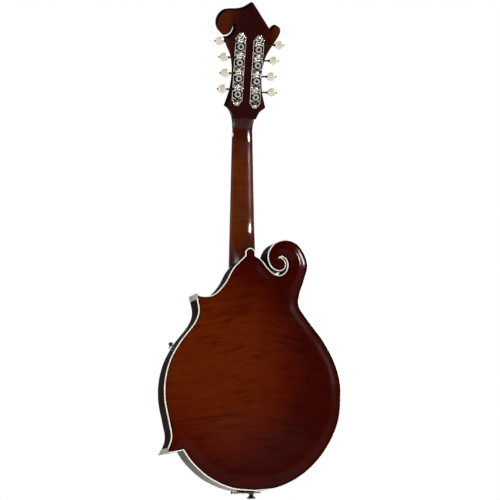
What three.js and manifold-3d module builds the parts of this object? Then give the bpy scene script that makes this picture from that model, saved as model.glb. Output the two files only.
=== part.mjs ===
// F-style mandolin: carved back and soundboard on bent ribs, neck with a pitched headstock,
// four-on-a-plate tuners, floating bridge, tailpiece and eight strings.
// Millimetres. +Z runs up the neck, -Y is the soundboard side, +X is the treble side.
import * as THREE from 'three';
import { mergeVertices } from 'three/addons/utils/BufferGeometryUtils.js';
import Module from 'manifold-3d';

const wasm = await Module();
wasm.setup();

// Driving dimensions, with heights measured up from the tail of the body.
const HALF_DEPTH = 23; // half of the body's depth at its edge
const PLATE_EDGE = 4.5; // thickness of each carved plate at its edge
const GAP = 0.3; // glue line or running gap between neighbours
const BINDING = 1.5; // width of the binding seen on the plate's face
const RIB = 2.3; // thickness of a bent rib
const ARCH_FRONT = 13.5; // rise of the soundboard above its edge
const ARCH_BACK = 12; // rise of the back above its edge
const NUT_Z = 507; // height of the nut
const NUT_Y = -17.7; // fretboard surface at the nut
const NECK_ANGLE = THREE.MathUtils.degToRad(5); // neck leaning back from the body
const HEAD_ANGLE = THREE.MathUtils.degToRad(20); // headstock leaning back from the body
const HEAD_THICK = 14; // headstock wood, without its overlay
const OVERLAY_THICK = 1.5;
const FRETBOARD_THICK = 6;
const SCALE = 352; // nut to bridge
const BRIDGE_Z = NUT_Z - SCALE * Math.cos(NECK_ANGLE);
const SADDLE_TOP_Y = -51.6;
const POST_PITCH = 22.7; // tuner to tuner along one plate
const POST_FIRST = { bass: 55.8, treble: 59.2 }; // first string post above the nut, along the headstock
const POST_X = { bass: -12.6, treble: 13.8 }; // string posts off the centreline
const WORM_OFFSET = 7.2; // worm axis above its gear's axis
const SHAFT_Y = 3.9; // worm axis behind the headstock's back
// Tuner buttons off the centreline, lowest first.
const BUTTON_X = { bass: [-35.4, -33, -35.1, -41.9], treble: [37, 34.6, 37.7, 45.1] };
const SIDES = [['bass', -1], ['treble', 1]];
const YOKE = new THREE.Vector3(0, -8, 512); // where a hanger yoke would hold the neck
const PLATE_INNER_Y = HALF_DEPTH - PLATE_EDGE;
const RIB_Y = PLATE_INNER_Y - GAP;

const COLOURS = {
  sunburst: [0x4a1206, 0.25, 0],
  spruce: [0x7a3a12, 0.3, 0],
  dark_wood: [0x1a0705, 0.3, 0],
  bare_wood: [0xb98d5a, 0.7, 0],
  ebony: [0x14100e, 0.45, 0],
  ivory: [0xe9dfc6, 0.4, 0],
  nickel: [0xb9b6ae, 0.3, 0.9],
  steel: [0xc8c8c8, 0.3, 1],
  black: [0x0c0c0c, 0.35, 0],
};

const group = new THREE.Group();
const instrument = new THREE.Group();
instrument.position.copy(YOKE).negate();
group.add(instrument);
const head = new THREE.Group();
head.position.set(0, NUT_Y + HEAD_THICK / Math.cos(HEAD_ANGLE), NUT_Z);
head.rotation.x = -HEAD_ANGLE;
instrument.add(head);
const board = new THREE.Group();
board.position.set(0, NUT_Y, NUT_Z);
board.rotation.x = -NECK_ANGLE;
instrument.add(board);

// --- Helpers -------------------------------------------------------------------------------

function solidOf(geometry) {
  const bare = geometry.clone();
  bare.deleteAttribute('normal');
  bare.deleteAttribute('uv');
  const merged = mergeVertices(bare, 1e-4);
  const vertProperties = new Float32Array(merged.attributes.position.array);
  const triVerts = new Uint32Array(merged.index.array);
  return new wasm.Manifold(new wasm.Mesh({ numProp: 3, vertProperties, triVerts }));
}

function geometryOf(solid) {
  const mesh = solid.getMesh();
  const geometry = new THREE.BufferGeometry();
  const count = mesh.vertProperties.length / mesh.numProp;
  const position = new Float32Array(count * 3);
  for (let i = 0; i < count; i += 1) {
    for (let k = 0; k < 3; k += 1) position[i * 3 + k] = mesh.vertProperties[i * mesh.numProp + k];
  }
  geometry.setAttribute('position', new THREE.BufferAttribute(position, 3));
  geometry.setIndex(Array.from(mesh.triVerts));
  return geometry;
}

function addPart(name, shape, colour, parent = instrument) {
  const geometry = shape.isBufferGeometry ? shape : geometryOf(shape);
  const [color, roughness, metalness] = COLOURS[colour];
  const mesh = new THREE.Mesh(geometry, new THREE.MeshStandardMaterial({ color, roughness, metalness }));
  mesh.name = name;
  parent.add(mesh);
  return mesh;
}

function block(low, high) {
  const size = high.map((value, axis) => value - low[axis]);
  const geometry = new THREE.BoxGeometry(...size);
  geometry.translate((low[0] + high[0]) / 2, (low[1] + high[1]) / 2, (low[2] + high[2]) / 2);
  return solidOf(geometry);
}

// A cylinder from one point to another.
function rod(from, to, radius, sides = 16) {
  const a = new THREE.Vector3(...from);
  const b = new THREE.Vector3(...to);
  const along = b.clone().sub(a);
  const geometry = new THREE.CylinderGeometry(radius, radius, along.length(), sides);
  const turn = new THREE.Quaternion().setFromUnitVectors(new THREE.Vector3(0, 1, 0), along.normalize());
  geometry.applyQuaternion(turn);
  geometry.translate(...a.add(b).multiplyScalar(0.5).toArray());
  return solidOf(geometry);
}

// A flat outline in X and Z, made solid between two depths.
function slab(outline, yLow, yHigh) {
  const shape = new THREE.Shape(outline.map(([x, z]) => new THREE.Vector2(x, z)));
  const geometry = new THREE.ExtrudeGeometry(shape, { depth: yHigh - yLow, bevelEnabled: false });
  geometry.rotateX(Math.PI / 2);
  geometry.translate(0, yHigh, 0);
  return solidOf(geometry);
}

// Points on a smooth curve through hand-placed points.
function smooth(points, steps = 3, closed = false) {
  const vectors = points.map(([x, z]) => new THREE.Vector3(x, 0, z));
  const curve = new THREE.CatmullRomCurve3(vectors, closed, 'centripetal');
  const spans = closed ? points.length : points.length - 1;
  const samples = [];
  for (let i = 0; i < spans * steps; i += 1) {
    const p = curve.getPoint(i / (spans * steps));
    samples.push([p.x, p.z]);
  }
  return samples;
}

function joinSpans(spans, steps) {
  return spans.flatMap((points) => smooth(points, steps));
}

function areaOf(loop) {
  return loop.reduce((sum, [x, z], i) => {
    const [nextX, nextZ] = loop[(i + 1) % loop.length];
    return sum + (x * nextZ - nextX * z) / 2;
  }, 0);
}

function distanceToLoop([x, z], loop) {
  let best = Infinity;
  loop.forEach(([ax, az], i) => {
    const [bx, bz] = loop[(i + 1) % loop.length];
    const length2 = (bx - ax) ** 2 + (bz - az) ** 2;
    const t = Math.min(1, Math.max(0, ((x - ax) * (bx - ax) + (z - az) * (bz - az)) / length2));
    best = Math.min(best, Math.hypot(x - ax - t * (bx - ax), z - az - t * (bz - az)));
  });
  return best;
}

// One point of the loop moved inwards along its corner's bisector.
function insetPoint(loop, i, distance) {
  const n = loop.length;
  const [px, pz] = loop[(i + n - 1) % n];
  const [x, z] = loop[i];
  const [nx, nz] = loop[(i + 1) % n];
  const a = new THREE.Vector2(x - px, z - pz).normalize();
  const b = new THREE.Vector2(nx - x, nz - z).normalize();
  const side = Math.sign(areaOf(loop));
  const normal = new THREE.Vector2(-(a.y + b.y), a.x + b.x).normalize().multiplyScalar(side);
  const lean = Math.max(0.25, normal.dot(new THREE.Vector2(-a.y, a.x).multiplyScalar(side)));
  return [x + (normal.x * distance) / lean, z + (normal.y * distance) / lean];
}

// The loop moved inwards all round, without the points that fold over at its sharp ends.
function inset(loop, distance) {
  const moved = loop.map((_, i) => insetPoint(loop, i, distance));
  return moved.filter((point) => distanceToLoop(point, loop) >= Math.abs(distance) * 0.97);
}

// A wall along part of the loop, between two depths inside it.
function strip(loop, from, to, outer, inner, yLow, yHigh) {
  const outside = [];
  const inside = [];
  for (let i = from; i <= to; i += 1) {
    const k = (i + loop.length) % loop.length;
    outside.push(insetPoint(loop, k, outer));
    inside.unshift(insetPoint(loop, k, inner));
  }
  return slab([...outside, ...inside], yLow, yHigh);
}

// A closed skin through a stack of rings that have the same number of points.
function loft(rings) {
  const count = rings[0].length;
  const geometry = new THREE.BufferGeometry();
  const index = [];
  for (let r = 0; r < rings.length - 1; r += 1) {
    for (let i = 0; i < count; i += 1) {
      const a = r * count + i;
      const b = r * count + ((i + 1) % count);
      index.push(a, b, b + count, a, b + count, a + count);
    }
  }
  const last = (rings.length - 1) * count;
  for (let i = 1; i < count - 1; i += 1) {
    index.push(0, i + 1, i, last, last + i, last + i + 1);
  }
  geometry.setAttribute('position', new THREE.Float32BufferAttribute(rings.flat(2), 3));
  geometry.setIndex(index);
  const solid = solidOf(geometry);
  if (solid.volume() > 0) return solid;
  const flipped = index.slice();
  for (let i = 0; i < flipped.length; i += 3) {
    const first = flipped[i];
    flipped[i] = flipped[i + 1];
    flipped[i + 1] = first;
  }
  geometry.setIndex(flipped);
  return solidOf(geometry);
}

// --- Body outline --------------------------------------------------------------------------

const TAIL = [0, 0.8];
const NOTCH = [101, 58];
const LOWER_TIP = [127, 53.5];
const UPPER_TIP_LOW = [78.5, 270.5];
const UPPER_TIP_HIGH = [79.5, 276.5];
const BUTTON_TREBLE = [7.25, 331];
const BUTTON_BASS = [-7.25, 331];
const CHANNEL_END_OUTER = [-46, 330];
const CHANNEL_END_INNER = [-45.2, 328.2];
const SCROLL_START = [-30, 343.5];

const LOWER_TREBLE = [TAIL, [33, 4.6], [66, 20], [90, 42], NOTCH];
const LOWER_POINT = [NOTCH, [109, 56.2], LOWER_TIP];
const TREBLE_SIDE = [LOWER_TIP, [121, 65], [117.8, 77], [121, 98], [126.3, 128], [125.6, 155],
  [118, 183], [103.5, 208.5], [81, 237.5], [76, 252], UPPER_TIP_LOW];
const TREBLE_SHOULDER = [UPPER_TIP_HIGH, [71, 273.4], [54.6, 275.2], [37.8, 291.3], [25, 313], BUTTON_TREBLE];
const HEEL_BUTTON = [BUTTON_TREBLE, [6.4, 338], [0, 342], [-6.4, 338], BUTTON_BASS];
const CHANNEL_OUTER = [BUTTON_BASS, [-15.4, 325.6], [-26, 312.4], [-35.5, 304.8], [-44, 304], [-51, 309.3],
  [-53.6, 318.8], [-51.5, 326], CHANNEL_END_OUTER];
const CHANNEL_INNER = [CHANNEL_END_INNER, [-49.6, 324.5], [-51.6, 318.8], [-48.6, 312], [-41.2, 309.3],
  [-31, 313.9], [-25.4, 325], [-26, 335.3], SCROLL_START];
const BASS_SIDE = [SCROLL_START, [-35.8, 349.5], [-52, 354.3], [-68, 349], [-79, 334.5], [-83.5, 318],
  [-78.2, 297], [-70.5, 275], [-69.5, 261], [-81, 242], [-103, 212.6], [-118.5, 184], [-127, 155],
  [-127.5, 127.5], [-123.8, 99], [-112, 70.4], [-92, 42.4], [-66, 20], [-33, 4.6], TAIL];

const HEEL_LINE = [BUTTON_TREBLE, BUTTON_BASS];
const STEPS = 2;

// The spans round the body; only the back has the button that covers the heel.
function bodySpans(heel) {
  return [LOWER_TREBLE, LOWER_POINT, TREBLE_SIDE, [UPPER_TIP_LOW, UPPER_TIP_HIGH], TREBLE_SHOULDER,
    heel, CHANNEL_OUTER, [CHANNEL_END_OUTER, CHANNEL_END_INNER], CHANNEL_INNER, BASS_SIDE];
}

const SPANS = bodySpans(HEEL_LINE);
const OUTLINE = joinSpans(SPANS, STEPS);
const OUTLINE_BACK = joinSpans(bodySpans(HEEL_BUTTON), STEPS);

// Index in OUTLINE where the given span starts.
function spanStart(span) {
  const before = SPANS.slice(0, SPANS.indexOf(span));
  return before.reduce((sum, points) => sum + (points.length - 1) * STEPS, 0);
}

// --- Arched plates -------------------------------------------------------------------------

const ARCH_CENTRE = [0, 145];
const ARCH_EDGE = [[0, 13], [52, 26], [92, 62], [108, 98], [113, 135], [108, 170], [88, 207], [64, 240],
  [50, 262], [24, 284], [0, 296], [-28, 286], [-54, 272], [-64, 246], [-86, 212], [-108, 174], [-114, 135],
  [-109, 98], [-92, 60], [-52, 26]];
const ARCH_SEGMENTS = 32;
const ARCH_RINGS = 5;

// How far the arch reaches from its centre in each direction.
function archReach(angle) {
  const loop = smooth(ARCH_EDGE, 12, true);
  let best = loop[0];
  let bestTurn = Infinity;
  for (const [x, z] of loop) {
    const turn = Math.abs(Math.sin((Math.atan2(x - ARCH_CENTRE[0], z - ARCH_CENTRE[1]) - angle) / 2));
    if (turn < bestTurn) {
      bestTurn = turn;
      best = [x, z];
    }
  }
  return Math.hypot(best[0] - ARCH_CENTRE[0], best[1] - ARCH_CENTRE[1]);
}

function archRise(fraction) {
  return (1 - fraction * fraction) ** 1.3;
}

// A dome standing on the plate's edge plane; side is +1 for the back and -1 for the front.
function dome(side, rise, shrink, foot, lift) {
  const rings = [];
  const ring = (fraction, height) => {
    const points = [];
    for (let i = 0; i < ARCH_SEGMENTS; i += 1) {
      const angle = (i / ARCH_SEGMENTS) * Math.PI * 2;
      const reach = (archReach(angle) - shrink) * fraction;
      points.push([
        ARCH_CENTRE[0] + reach * Math.sin(angle),
        side * height,
        ARCH_CENTRE[1] + reach * Math.cos(angle),
      ]);
    }
    rings.push(points);
  };
  ring(1, foot);
  for (let i = 0; i < ARCH_RINGS; i += 1) {
    const fraction = 1 - i / ARCH_RINGS;
    ring(fraction, HALF_DEPTH + lift + rise * archRise(fraction));
  }
  ring(0.02, HALF_DEPTH + lift + rise);
  return loft(rings);
}

const ROOM = 0.3;
const frontEnvelope = dome(-1, ARCH_FRONT, 0, 10, 0.2 + ROOM);
const backEnvelope = dome(1, ARCH_BACK, 0, 10, 0.2 + ROOM);

// --- Ivory-coloured caps on the two body points ----------------------------------------------

const CAP_LONG = 40; // reach of the cutting box beyond the tip

function capZone(tip, direction, reach, halfWidth) {
  const zone = new THREE.BoxGeometry(CAP_LONG, 60, 2 * halfWidth);
  zone.translate(CAP_LONG / 2 - reach, 0, 0);
  zone.rotateY(-Math.atan2(direction[1], direction[0]));
  zone.translate(tip[0], 0, tip[1]);
  return solidOf(zone);
}

const upperDirection = [0.986, -0.164];
const lowerDirection = [0.94, -0.34];
const UPPER_CAP = 4;
const UPPER_CAP_HALF = 6;
const LOWER_CAP = 7;
const LOWER_CAP_HALF = 20;
const upperMiddle = [79, 273.5];
const bodySlab = slab(inset(OUTLINE, 0.05), -HALF_DEPTH, HALF_DEPTH);
const upperCap = bodySlab.intersect(capZone(upperMiddle, upperDirection, UPPER_CAP, UPPER_CAP_HALF));
const lowerCap = bodySlab.intersect(capZone(LOWER_TIP, lowerDirection, LOWER_CAP, LOWER_CAP_HALF));
const capRoom = capZone(upperMiddle, upperDirection, UPPER_CAP + GAP, UPPER_CAP_HALF + GAP)
  .add(capZone(LOWER_TIP, lowerDirection, LOWER_CAP + GAP, LOWER_CAP_HALF + GAP));
addPart('point_protector_upper', upperCap, 'ivory');
addPart('point_protector_lower', lowerCap, 'ivory');

// --- Plates and bindings -------------------------------------------------------------------

function carvedPlate(side, rise) {
  const [low, high] = side > 0 ? [PLATE_INNER_Y, HALF_DEPTH] : [-HALF_DEPTH, -PLATE_INNER_Y];
  const outline = inset(side > 0 ? OUTLINE_BACK : OUTLINE, BINDING + GAP);
  const shell = slab(outline, low, high).add(dome(side, rise, 0, PLATE_INNER_Y + 1, 0));
  return shell.subtract(dome(side, rise, 7, PLATE_INNER_Y - 5, -PLATE_EDGE)).subtract(capRoom);
}

// A slender S-shaped sound hole on each side of the bridge, with a round eye at each end.
const HOLE_SPINE = [[38, 218], [42, 219], [46, 211], [45.5, 190], [47, 168], [53, 148], [58, 134], [60.5, 122]];
const HOLE_HALF_WIDTH = 2.4;
const HOLE_EYE = 3.6;

function soundHole(side) {
  const spine = smooth(HOLE_SPINE, 2).map(([x, z]) => [side * x, z]);
  let hole = null;
  for (let i = 0; i < spine.length - 1; i += 1) {
    const [ax, az] = spine[i];
    const [bx, bz] = spine[i + 1];
    const length = Math.hypot(bx - ax, bz - az) / HOLE_HALF_WIDTH;
    const dx = (bz - az) / length;
    const dz = -(bx - ax) / length;
    const piece = slab([[ax + dx, az + dz], [bx + dx, bz + dz], [bx - dx, bz - dz], [ax - dx, az - dz]], -60, -10)
      .add(rod([ax, -60, az], [ax, -10, az], HOLE_HALF_WIDTH, 8));
    hole = hole ? hole.add(piece) : piece;
  }
  const [topEye, lowEye] = [[side * 37.5, 217], [side * 60.5, 122]];
  return hole.add(rod([topEye[0], -60, topEye[1]], [topEye[0], -10, topEye[1]], HOLE_EYE, 10))
    .add(rod([lowEye[0], -60, lowEye[1]], [lowEye[0], -10, lowEye[1]], HOLE_EYE, 10));
}

addPart('back_plate', carvedPlate(1, ARCH_BACK), 'sunburst');
const soundboard = carvedPlate(-1, ARCH_FRONT).subtract(soundHole(1)).subtract(soundHole(-1));
addPart('soundboard', soundboard, 'spruce');

function bindingRing(outline, low, high) {
  const ring = slab(inset(outline, 0.05), low, high);
  return ring.subtract(slab(inset(outline, BINDING), low - 1, high + 1)).subtract(capRoom);
}

// The binding is open at both caps, so its long part round the body is the one kept.
function largestPiece(solid) {
  return solid.decompose().reduce((best, piece) => (piece.volume() > best.volume() ? piece : best));
}

addPart('binding_back', largestPiece(bindingRing(OUTLINE_BACK, PLATE_INNER_Y, HALF_DEPTH)), 'ivory');
addPart('binding_soundboard', largestPiece(bindingRing(OUTLINE, -HALF_DEPTH, -PLATE_INNER_Y)), 'ivory');

// --- Ribs, blocks, linings and bars inside --------------------------------------------------

function rib(from, to) {
  return strip(OUTLINE, from, to, 0.2, RIB, -RIB_Y, RIB_Y).subtract(capRoom);
}

const scrollStart = spanStart(BASS_SIDE);
const waistStart = scrollStart + 8 * STEPS;
const trebleTip = spanStart(TREBLE_SIDE);
const upperTip = spanStart(TREBLE_SHOULDER);
const heelStart = spanStart(HEEL_LINE);
addPart('rib_lower_bout', rib(1, 4 * STEPS - 1), 'dark_wood');
addPart('rib_waist', rib(trebleTip + 1, upperTip - 2), 'dark_wood');
addPart('rib_treble_shoulder', rib(upperTip + 1, heelStart - 3), 'dark_wood');
addPart('rib_scroll', rib(scrollStart + 2, waistStart), 'dark_wood');
addPart('rib_bass', rib(waistStart + 1, OUTLINE.length - 1), 'dark_wood');

// Solid wood fills the body outline inside the given outline.
const ribRoom = slab(inset(OUTLINE, RIB + GAP), -RIB_Y, RIB_Y);
const carvedRoom = slab(inset(OUTLINE, 0.2), -RIB_Y, RIB_Y);

function blockIn(room, low, high) {
  return room.intersect(block([low[0], -RIB_Y, low[1]], [high[0], RIB_Y, high[1]]));
}

const scrollRibRoom = strip(OUTLINE, scrollStart + 1, waistStart + 1, -1, RIB + GAP, -30, 30);
const shoulderRibRoom = strip(OUTLINE, upperTip + 3, heelStart - 2, -1, RIB + GAP, -30, 30);
const headBlock = blockIn(carvedRoom, [-90, 268], [34, 360]).subtract(scrollRibRoom).subtract(shoulderRibRoom);
const NECK_TENON = 14;
const TENON_Y = 8;
const tenonRoom = block([-NECK_TENON / 2 - GAP, -TENON_Y - GAP, 300 - GAP],
  [NECK_TENON / 2 + GAP, TENON_Y + GAP, 350]);
const tailBlock = blockIn(ribRoom, [-28, 0], [28, 18]);
const upperBlock = blockIn(ribRoom, [48, 240], [90, 290]).subtract(capRoom);
const lowerBlock = blockIn(ribRoom, [88, 46], [130, 92]).subtract(capRoom);

// Lining glued inside the ribs along each plate, let into the blocks that it crosses.
const LINING_THICK = 5.5;
const LINING_HIGH = 9;
const liningEdge = smooth([[0, 4.7], [33, 8.5], [64, 23.4], [86, 45], [99, 66], [113, 83], [117, 99], [122, 128],
  [121.4, 154], [114, 181], [100.4, 205.6], [77, 234], [70, 252], [56, 269], [36, 287], [22, 305], [9, 316],
  [-9, 314], [-24, 301], [-44, 299], [-61, 284], [-66.5, 272], [-65.6, 259], [-77.6, 239], [-99.6, 209.6],
  [-114.6, 181.6], [-122.8, 154], [-123.4, 127.5], [-119.8, 100.4], [-108.4, 72.6], [-88.6, 45.4], [-64, 23.4],
  [-33, 8.5]], 2, true);

function lining(low, high, room) {
  const outer = slab(inset(liningEdge, -room), low, high);
  return outer.subtract(slab(inset(liningEdge, LINING_THICK + room), low - 1, high + 1));
}

function liningAt(side) {
  const [low, high] = side > 0 ? [RIB_Y - LINING_HIGH, RIB_Y] : [-RIB_Y, LINING_HIGH - RIB_Y];
  return {
    wood: lining(low, high, 0).intersect(ribRoom),
    room: lining(low - GAP, high + GAP, GAP),
  };
}

const backLining = liningAt(1);
const frontLining = liningAt(-1);
addPart('lining_back', largestPiece(backLining.wood), 'bare_wood');
addPart('lining_soundboard', largestPiece(frontLining.wood), 'bare_wood');
const letIn = (solid) => largestPiece(solid.subtract(backLining.room).subtract(frontLining.room));
addPart('neck_block', letIn(headBlock.subtract(tenonRoom)), 'dark_wood');
addPart('tail_block', letIn(tailBlock), 'bare_wood');
addPart('upper_point_block', letIn(upperBlock), 'bare_wood');
addPart('lower_point_block', letIn(lowerBlock), 'bare_wood');

function toneBar(side) {
  const bar = slab([[side * 16 - 3, 245], [side * 16 + 3, 245], [side * 30 + 3, 70], [side * 30 - 3, 70]], -34, -15);
  return largestPiece(bar.intersect(dome(-1, ARCH_FRONT, 9, 12, -PLATE_EDGE - GAP)));
}
addPart('tone_bar_bass', toneBar(-1), 'bare_wood');
addPart('tone_bar_treble', toneBar(1), 'bare_wood');

// --- Neck, headstock and fretboard ----------------------------------------------------------

// X and Z of a string post in the headstock's frame.
function postPlace(label, k) {
  return [POST_X[label], POST_FIRST[label] + k * POST_PITCH];
}

// Half of the headstock's outline is mirrored up to the shoulders; the top is not symmetrical.
const HEAD_SIDE = [[14.3, 0], [14.6, 14], [18, 28], [21.4, 34], [29, 40]];
const HEAD_WAIST = [[29, 40], [23, 61], [21.3, 74], [20.6, 88], [21.6, 100], [25, 114], [30, 124]];
const TREBLE_SCROLL = [[30, 124], [34, 133], [36.6, 139.4]];
const SCROLL_SLOT = [[36.6, 139.4], [31, 139.8], [24.8, 145.4], [22.6, 154], [24, 162]];
const SLOT_BACK = [[24, 162], [26.4, 154], [29.2, 147.4], [33.4, 143.8], [38.8, 142.4]];
const TREBLE_CURL = [[38.8, 142.4], [46.3, 150.4], [48.9, 159.5], [46, 170], [39, 177], [31, 179], [20, 179.6],
  [10.2, 182], [-1.5, 189.3]];
const BASS_RAMP = [[-1.5, 189.3], [-29.5, 150.5]];
const BASS_CURL = [[-29.5, 150.5], [-32, 154.6], [-37.2, 158], [-42, 155.4], [-43.3, 150], [-41, 143],
  [-35, 132.5], [-30, 124]];
const mirrored = (points) => points.map(([x, z]) => [-x, z]).reverse();
const HEAD_OUTLINE = joinSpans([HEAD_SIDE, HEAD_WAIST, TREBLE_SCROLL, SCROLL_SLOT, SLOT_BACK, TREBLE_CURL,
  BASS_RAMP, BASS_CURL, mirrored(HEAD_WAIST), mirrored(HEAD_SIDE), [[-14.3, 0], [14.3, 0]]], STEPS);

head.updateMatrix();
board.updateMatrix();

// The same solid, moved from a tilted group's frame into the instrument's.
function placed(solid, parent) {
  return solidOf(geometryOf(solid).applyMatrix4(parent.matrix));
}

function boardY(z) {
  return NUT_Y - (NUT_Z - z) * Math.tan(NECK_ANGLE);
}

// A D-shaped section of the neck at one height: flat in front, round behind.
function neckRing(z, halfWidth, backY, fullness) {
  const front = boardY(z) + FRETBOARD_THICK + GAP;
  const points = [];
  const steps = 14;
  for (let i = 0; i <= steps; i += 1) {
    const angle = (i / steps) * Math.PI;
    const x = Math.cos(angle);
    const y = Math.sin(angle);
    points.push([
      halfWidth * Math.sign(x) * Math.abs(x) ** (2 / fullness),
      front + (backY - front) * y ** (2 / fullness),
      z,
    ]);
  }
  return points;
}

const neckShaft = loft([
  neckRing(296, 18.6, HALF_DEPTH - PLATE_EDGE - GAP, 1.5),
  neckRing(331, 18.2, HALF_DEPTH - PLATE_EDGE - GAP, 1.5),
  neckRing(341, 18, 16.5, 1.5),
  neckRing(347, 17.9, 9, 1.6),
  neckRing(354, 17.8, -1, 1.8),
  neckRing(364, 17.6, -7.5, 2),
  neckRing(376, 17.3, -10.5, 2),
  neckRing(430, 16, -5.6, 2),
  neckRing(484, 14.7, 0, 2),
  neckRing(500, 14.3, 2.4, 2),
  neckRing(512, 13.6, 5, 2.2),
]);
const headSlab = placed(slab(HEAD_OUTLINE, -HEAD_THICK, 0), head);
const tenon = block([-NECK_TENON / 2, -TENON_Y, 300], [NECK_TENON / 2, TENON_Y, 336]);
const riser = block([-18, boardY(250) + FRETBOARD_THICK + 3, 250], [18, -HALF_DEPTH + 6, 331])
  .intersect(placed(block([-30, FRETBOARD_THICK + GAP, -300], [30, 40, 0]), board));
const bodyRoom = slab(inset(OUTLINE, -GAP), -HALF_DEPTH - GAP, HALF_DEPTH + GAP)
  .add(slab(inset(OUTLINE_BACK, -GAP), RIB_Y, HALF_DEPTH + GAP));
const postHoles = SIDES.flatMap(([label]) => BUTTON_X[label].map((_, k) => postPlace(label, k)));
const HOLE_R = 3.4;
const NUT_HIGH = 8;
const nutRoom = placed(block([-20, -4, -GAP], [20, NUT_HIGH + GAP, 5 + GAP]), board);
const rodFrom = [0, boardY(336) + 13, 336];
const rodTo = [0, boardY(520) + 13, 520];
const rodEnd = [0, boardY(575) + 13, 575];
let neck = neckShaft.add(headSlab).add(riser.subtract(frontEnvelope))
  .subtract(placed(block([-60, -60, -2], [60, -HEAD_THICK, 250]), head))
  .subtract(placed(block([-60, -60, -400], [60, FRETBOARD_THICK + GAP, 4.9]), board))
  .subtract(bodyRoom).add(tenon).subtract(nutRoom)
  .subtract(rod(rodFrom, rodEnd, 3, 12));
for (const [x, z] of postHoles) neck = neck.subtract(placed(rod([x, -40, z], [x, 10, z], HOLE_R, 10), head));
addPart('neck', largestPiece(neck.subtract(frontEnvelope)), 'sunburst');
addPart('truss_rod', rod([0, rodFrom[1] + 0.1, 337], rodTo, 2.4, 12), 'steel');

const overlayOutline = inset(HEAD_OUTLINE, 0.2);
let overlay = slab(overlayOutline, -HEAD_THICK - GAP - OVERLAY_THICK, -HEAD_THICK - GAP);
for (const [x, z] of postHoles) overlay = overlay.subtract(rod([x, -40, z], [x, 10, z], HOLE_R, 10));
overlay = overlay.subtract(block([-4, -30, 8], [4, 0, 46])).subtract(block([-40, -30, -10], [40, 0, 7]));
addPart('headstock_overlay', largestPiece(overlay), 'black', head);
const COVER_THICK = 0.9;
const coverEdge = [[-9, 16], [-8.6, 28], [-4, 43], [0, 53], [4, 43], [8.6, 28], [9, 16]];
const coverOutline = [...smooth(coverEdge, 3), [9, 16]];
const coverY = -HEAD_THICK - 2 * GAP - OVERLAY_THICK;
addPart('truss_rod_cover', slab(coverOutline, coverY - COVER_THICK, coverY), 'black', head);

addPart('nut', block([-14.3, -1.8, 0], [14.3, NUT_HIGH, 5]), 'ivory', board);

const FRET_COUNT = 24;
const BOARD_END = 292;
const boardHalf = (distance) => 14.3 + distance * 0.0218;
let fretboard = slab([[-14.3, -GAP], [14.3, -GAP], [boardHalf(BOARD_END), -BOARD_END],
  [-boardHalf(BOARD_END), -BOARD_END]], 0, FRETBOARD_THICK);
for (let fret = 1; fret <= FRET_COUNT; fret += 1) {
  const distance = SCALE * (1 - 2 ** (-fret / 12));
  const half = boardHalf(distance) - 0.4;
  fretboard = fretboard.add(block([-half, -1, -distance - 0.7], [half, 0.5, -distance + 0.7]));
}
addPart('fretboard', fretboard, 'ebony', board);

// --- Tuners ---------------------------------------------------------------------------------

const PLATE_Y = GAP;
const PLATE_THICK = 1.6;
const GEAR_R = 4.6;
const GEAR_TEETH = 16;
const GEAR_LOW = PLATE_Y + PLATE_THICK + GAP;
const GEAR_HIGH = GEAR_LOW + 3;
const POST_R = 3;
const SHAFT_R = 1.2;
const WORM_R = 2.1;
const BUTTON_R = 6.3;
const BUTTON_HALF = 2.7;
const EAR_X = 5;
const POST_TOP_Y = -27;

function tunerPlate(label) {
  const [plateX, foot] = postPlace(label, 0);
  const top = foot + 3 * POST_PITCH + 20;
  const outline = [[-3, foot - 16], [3, foot - 16], [5, foot - 11], [7.6, foot - 7], [7.6, top - 9], [5, top - 4],
    [2.6, top], [-2.6, top], [-5, top - 4], [-7.6, top - 9], [-7.6, foot - 7], [-5, foot - 11]]
    .map(([x, z]) => [x + plateX, z]);
  let plate = slab(outline, PLATE_Y, PLATE_Y + PLATE_THICK);
  for (let k = 0; k < 4; k += 1) {
    const [x, z] = postPlace(label, k);
    plate = plate.subtract(rod([x, -1, z], [x, 8, z], HOLE_R - 0.1, 10));
    for (const ear of [-EAR_X, EAR_X]) {
      plate = plate.add(block([x + ear - 0.8, PLATE_Y + 0.5, z + WORM_OFFSET - 2.4],
        [x + ear + 0.8, SHAFT_Y + 2.2, z + WORM_OFFSET + 2.4]));
    }
    plate = plate.subtract(rod([x - 9, SHAFT_Y, z + WORM_OFFSET], [x + 9, SHAFT_Y, z + WORM_OFFSET], 1.5, 8));
    plate = plate.subtract(rod([x - 4, SHAFT_Y, z + WORM_OFFSET], [x + 4, SHAFT_Y, z + WORM_OFFSET], 2.6, 8));
  }
  return plate;
}

function tunerKnob(label, side, k) {
  const [x, postZ] = postPlace(label, k);
  const z = postZ + WORM_OFFSET;
  const buttonX = BUTTON_X[label][k];
  const tipX = buttonX + side * (BUTTON_R + 1.6);
  return rod([x - side * 6.8, SHAFT_Y, z], [buttonX, SHAFT_Y, z], SHAFT_R, 8)
    .add(rod([x - 3.7, SHAFT_Y, z], [x + 3.7, SHAFT_Y, z], WORM_R, 8))
    .add(rod([buttonX - side * (BUTTON_R + 1.6), SHAFT_Y, z], [buttonX, SHAFT_Y, z], 1.9, 8))
    .add(rod([buttonX, SHAFT_Y, z], [tipX, SHAFT_Y, z], 1.1, 6))
    .add(rod([buttonX, SHAFT_Y - BUTTON_HALF, z], [buttonX, SHAFT_Y + BUTTON_HALF, z], BUTTON_R, 16));
}

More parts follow.
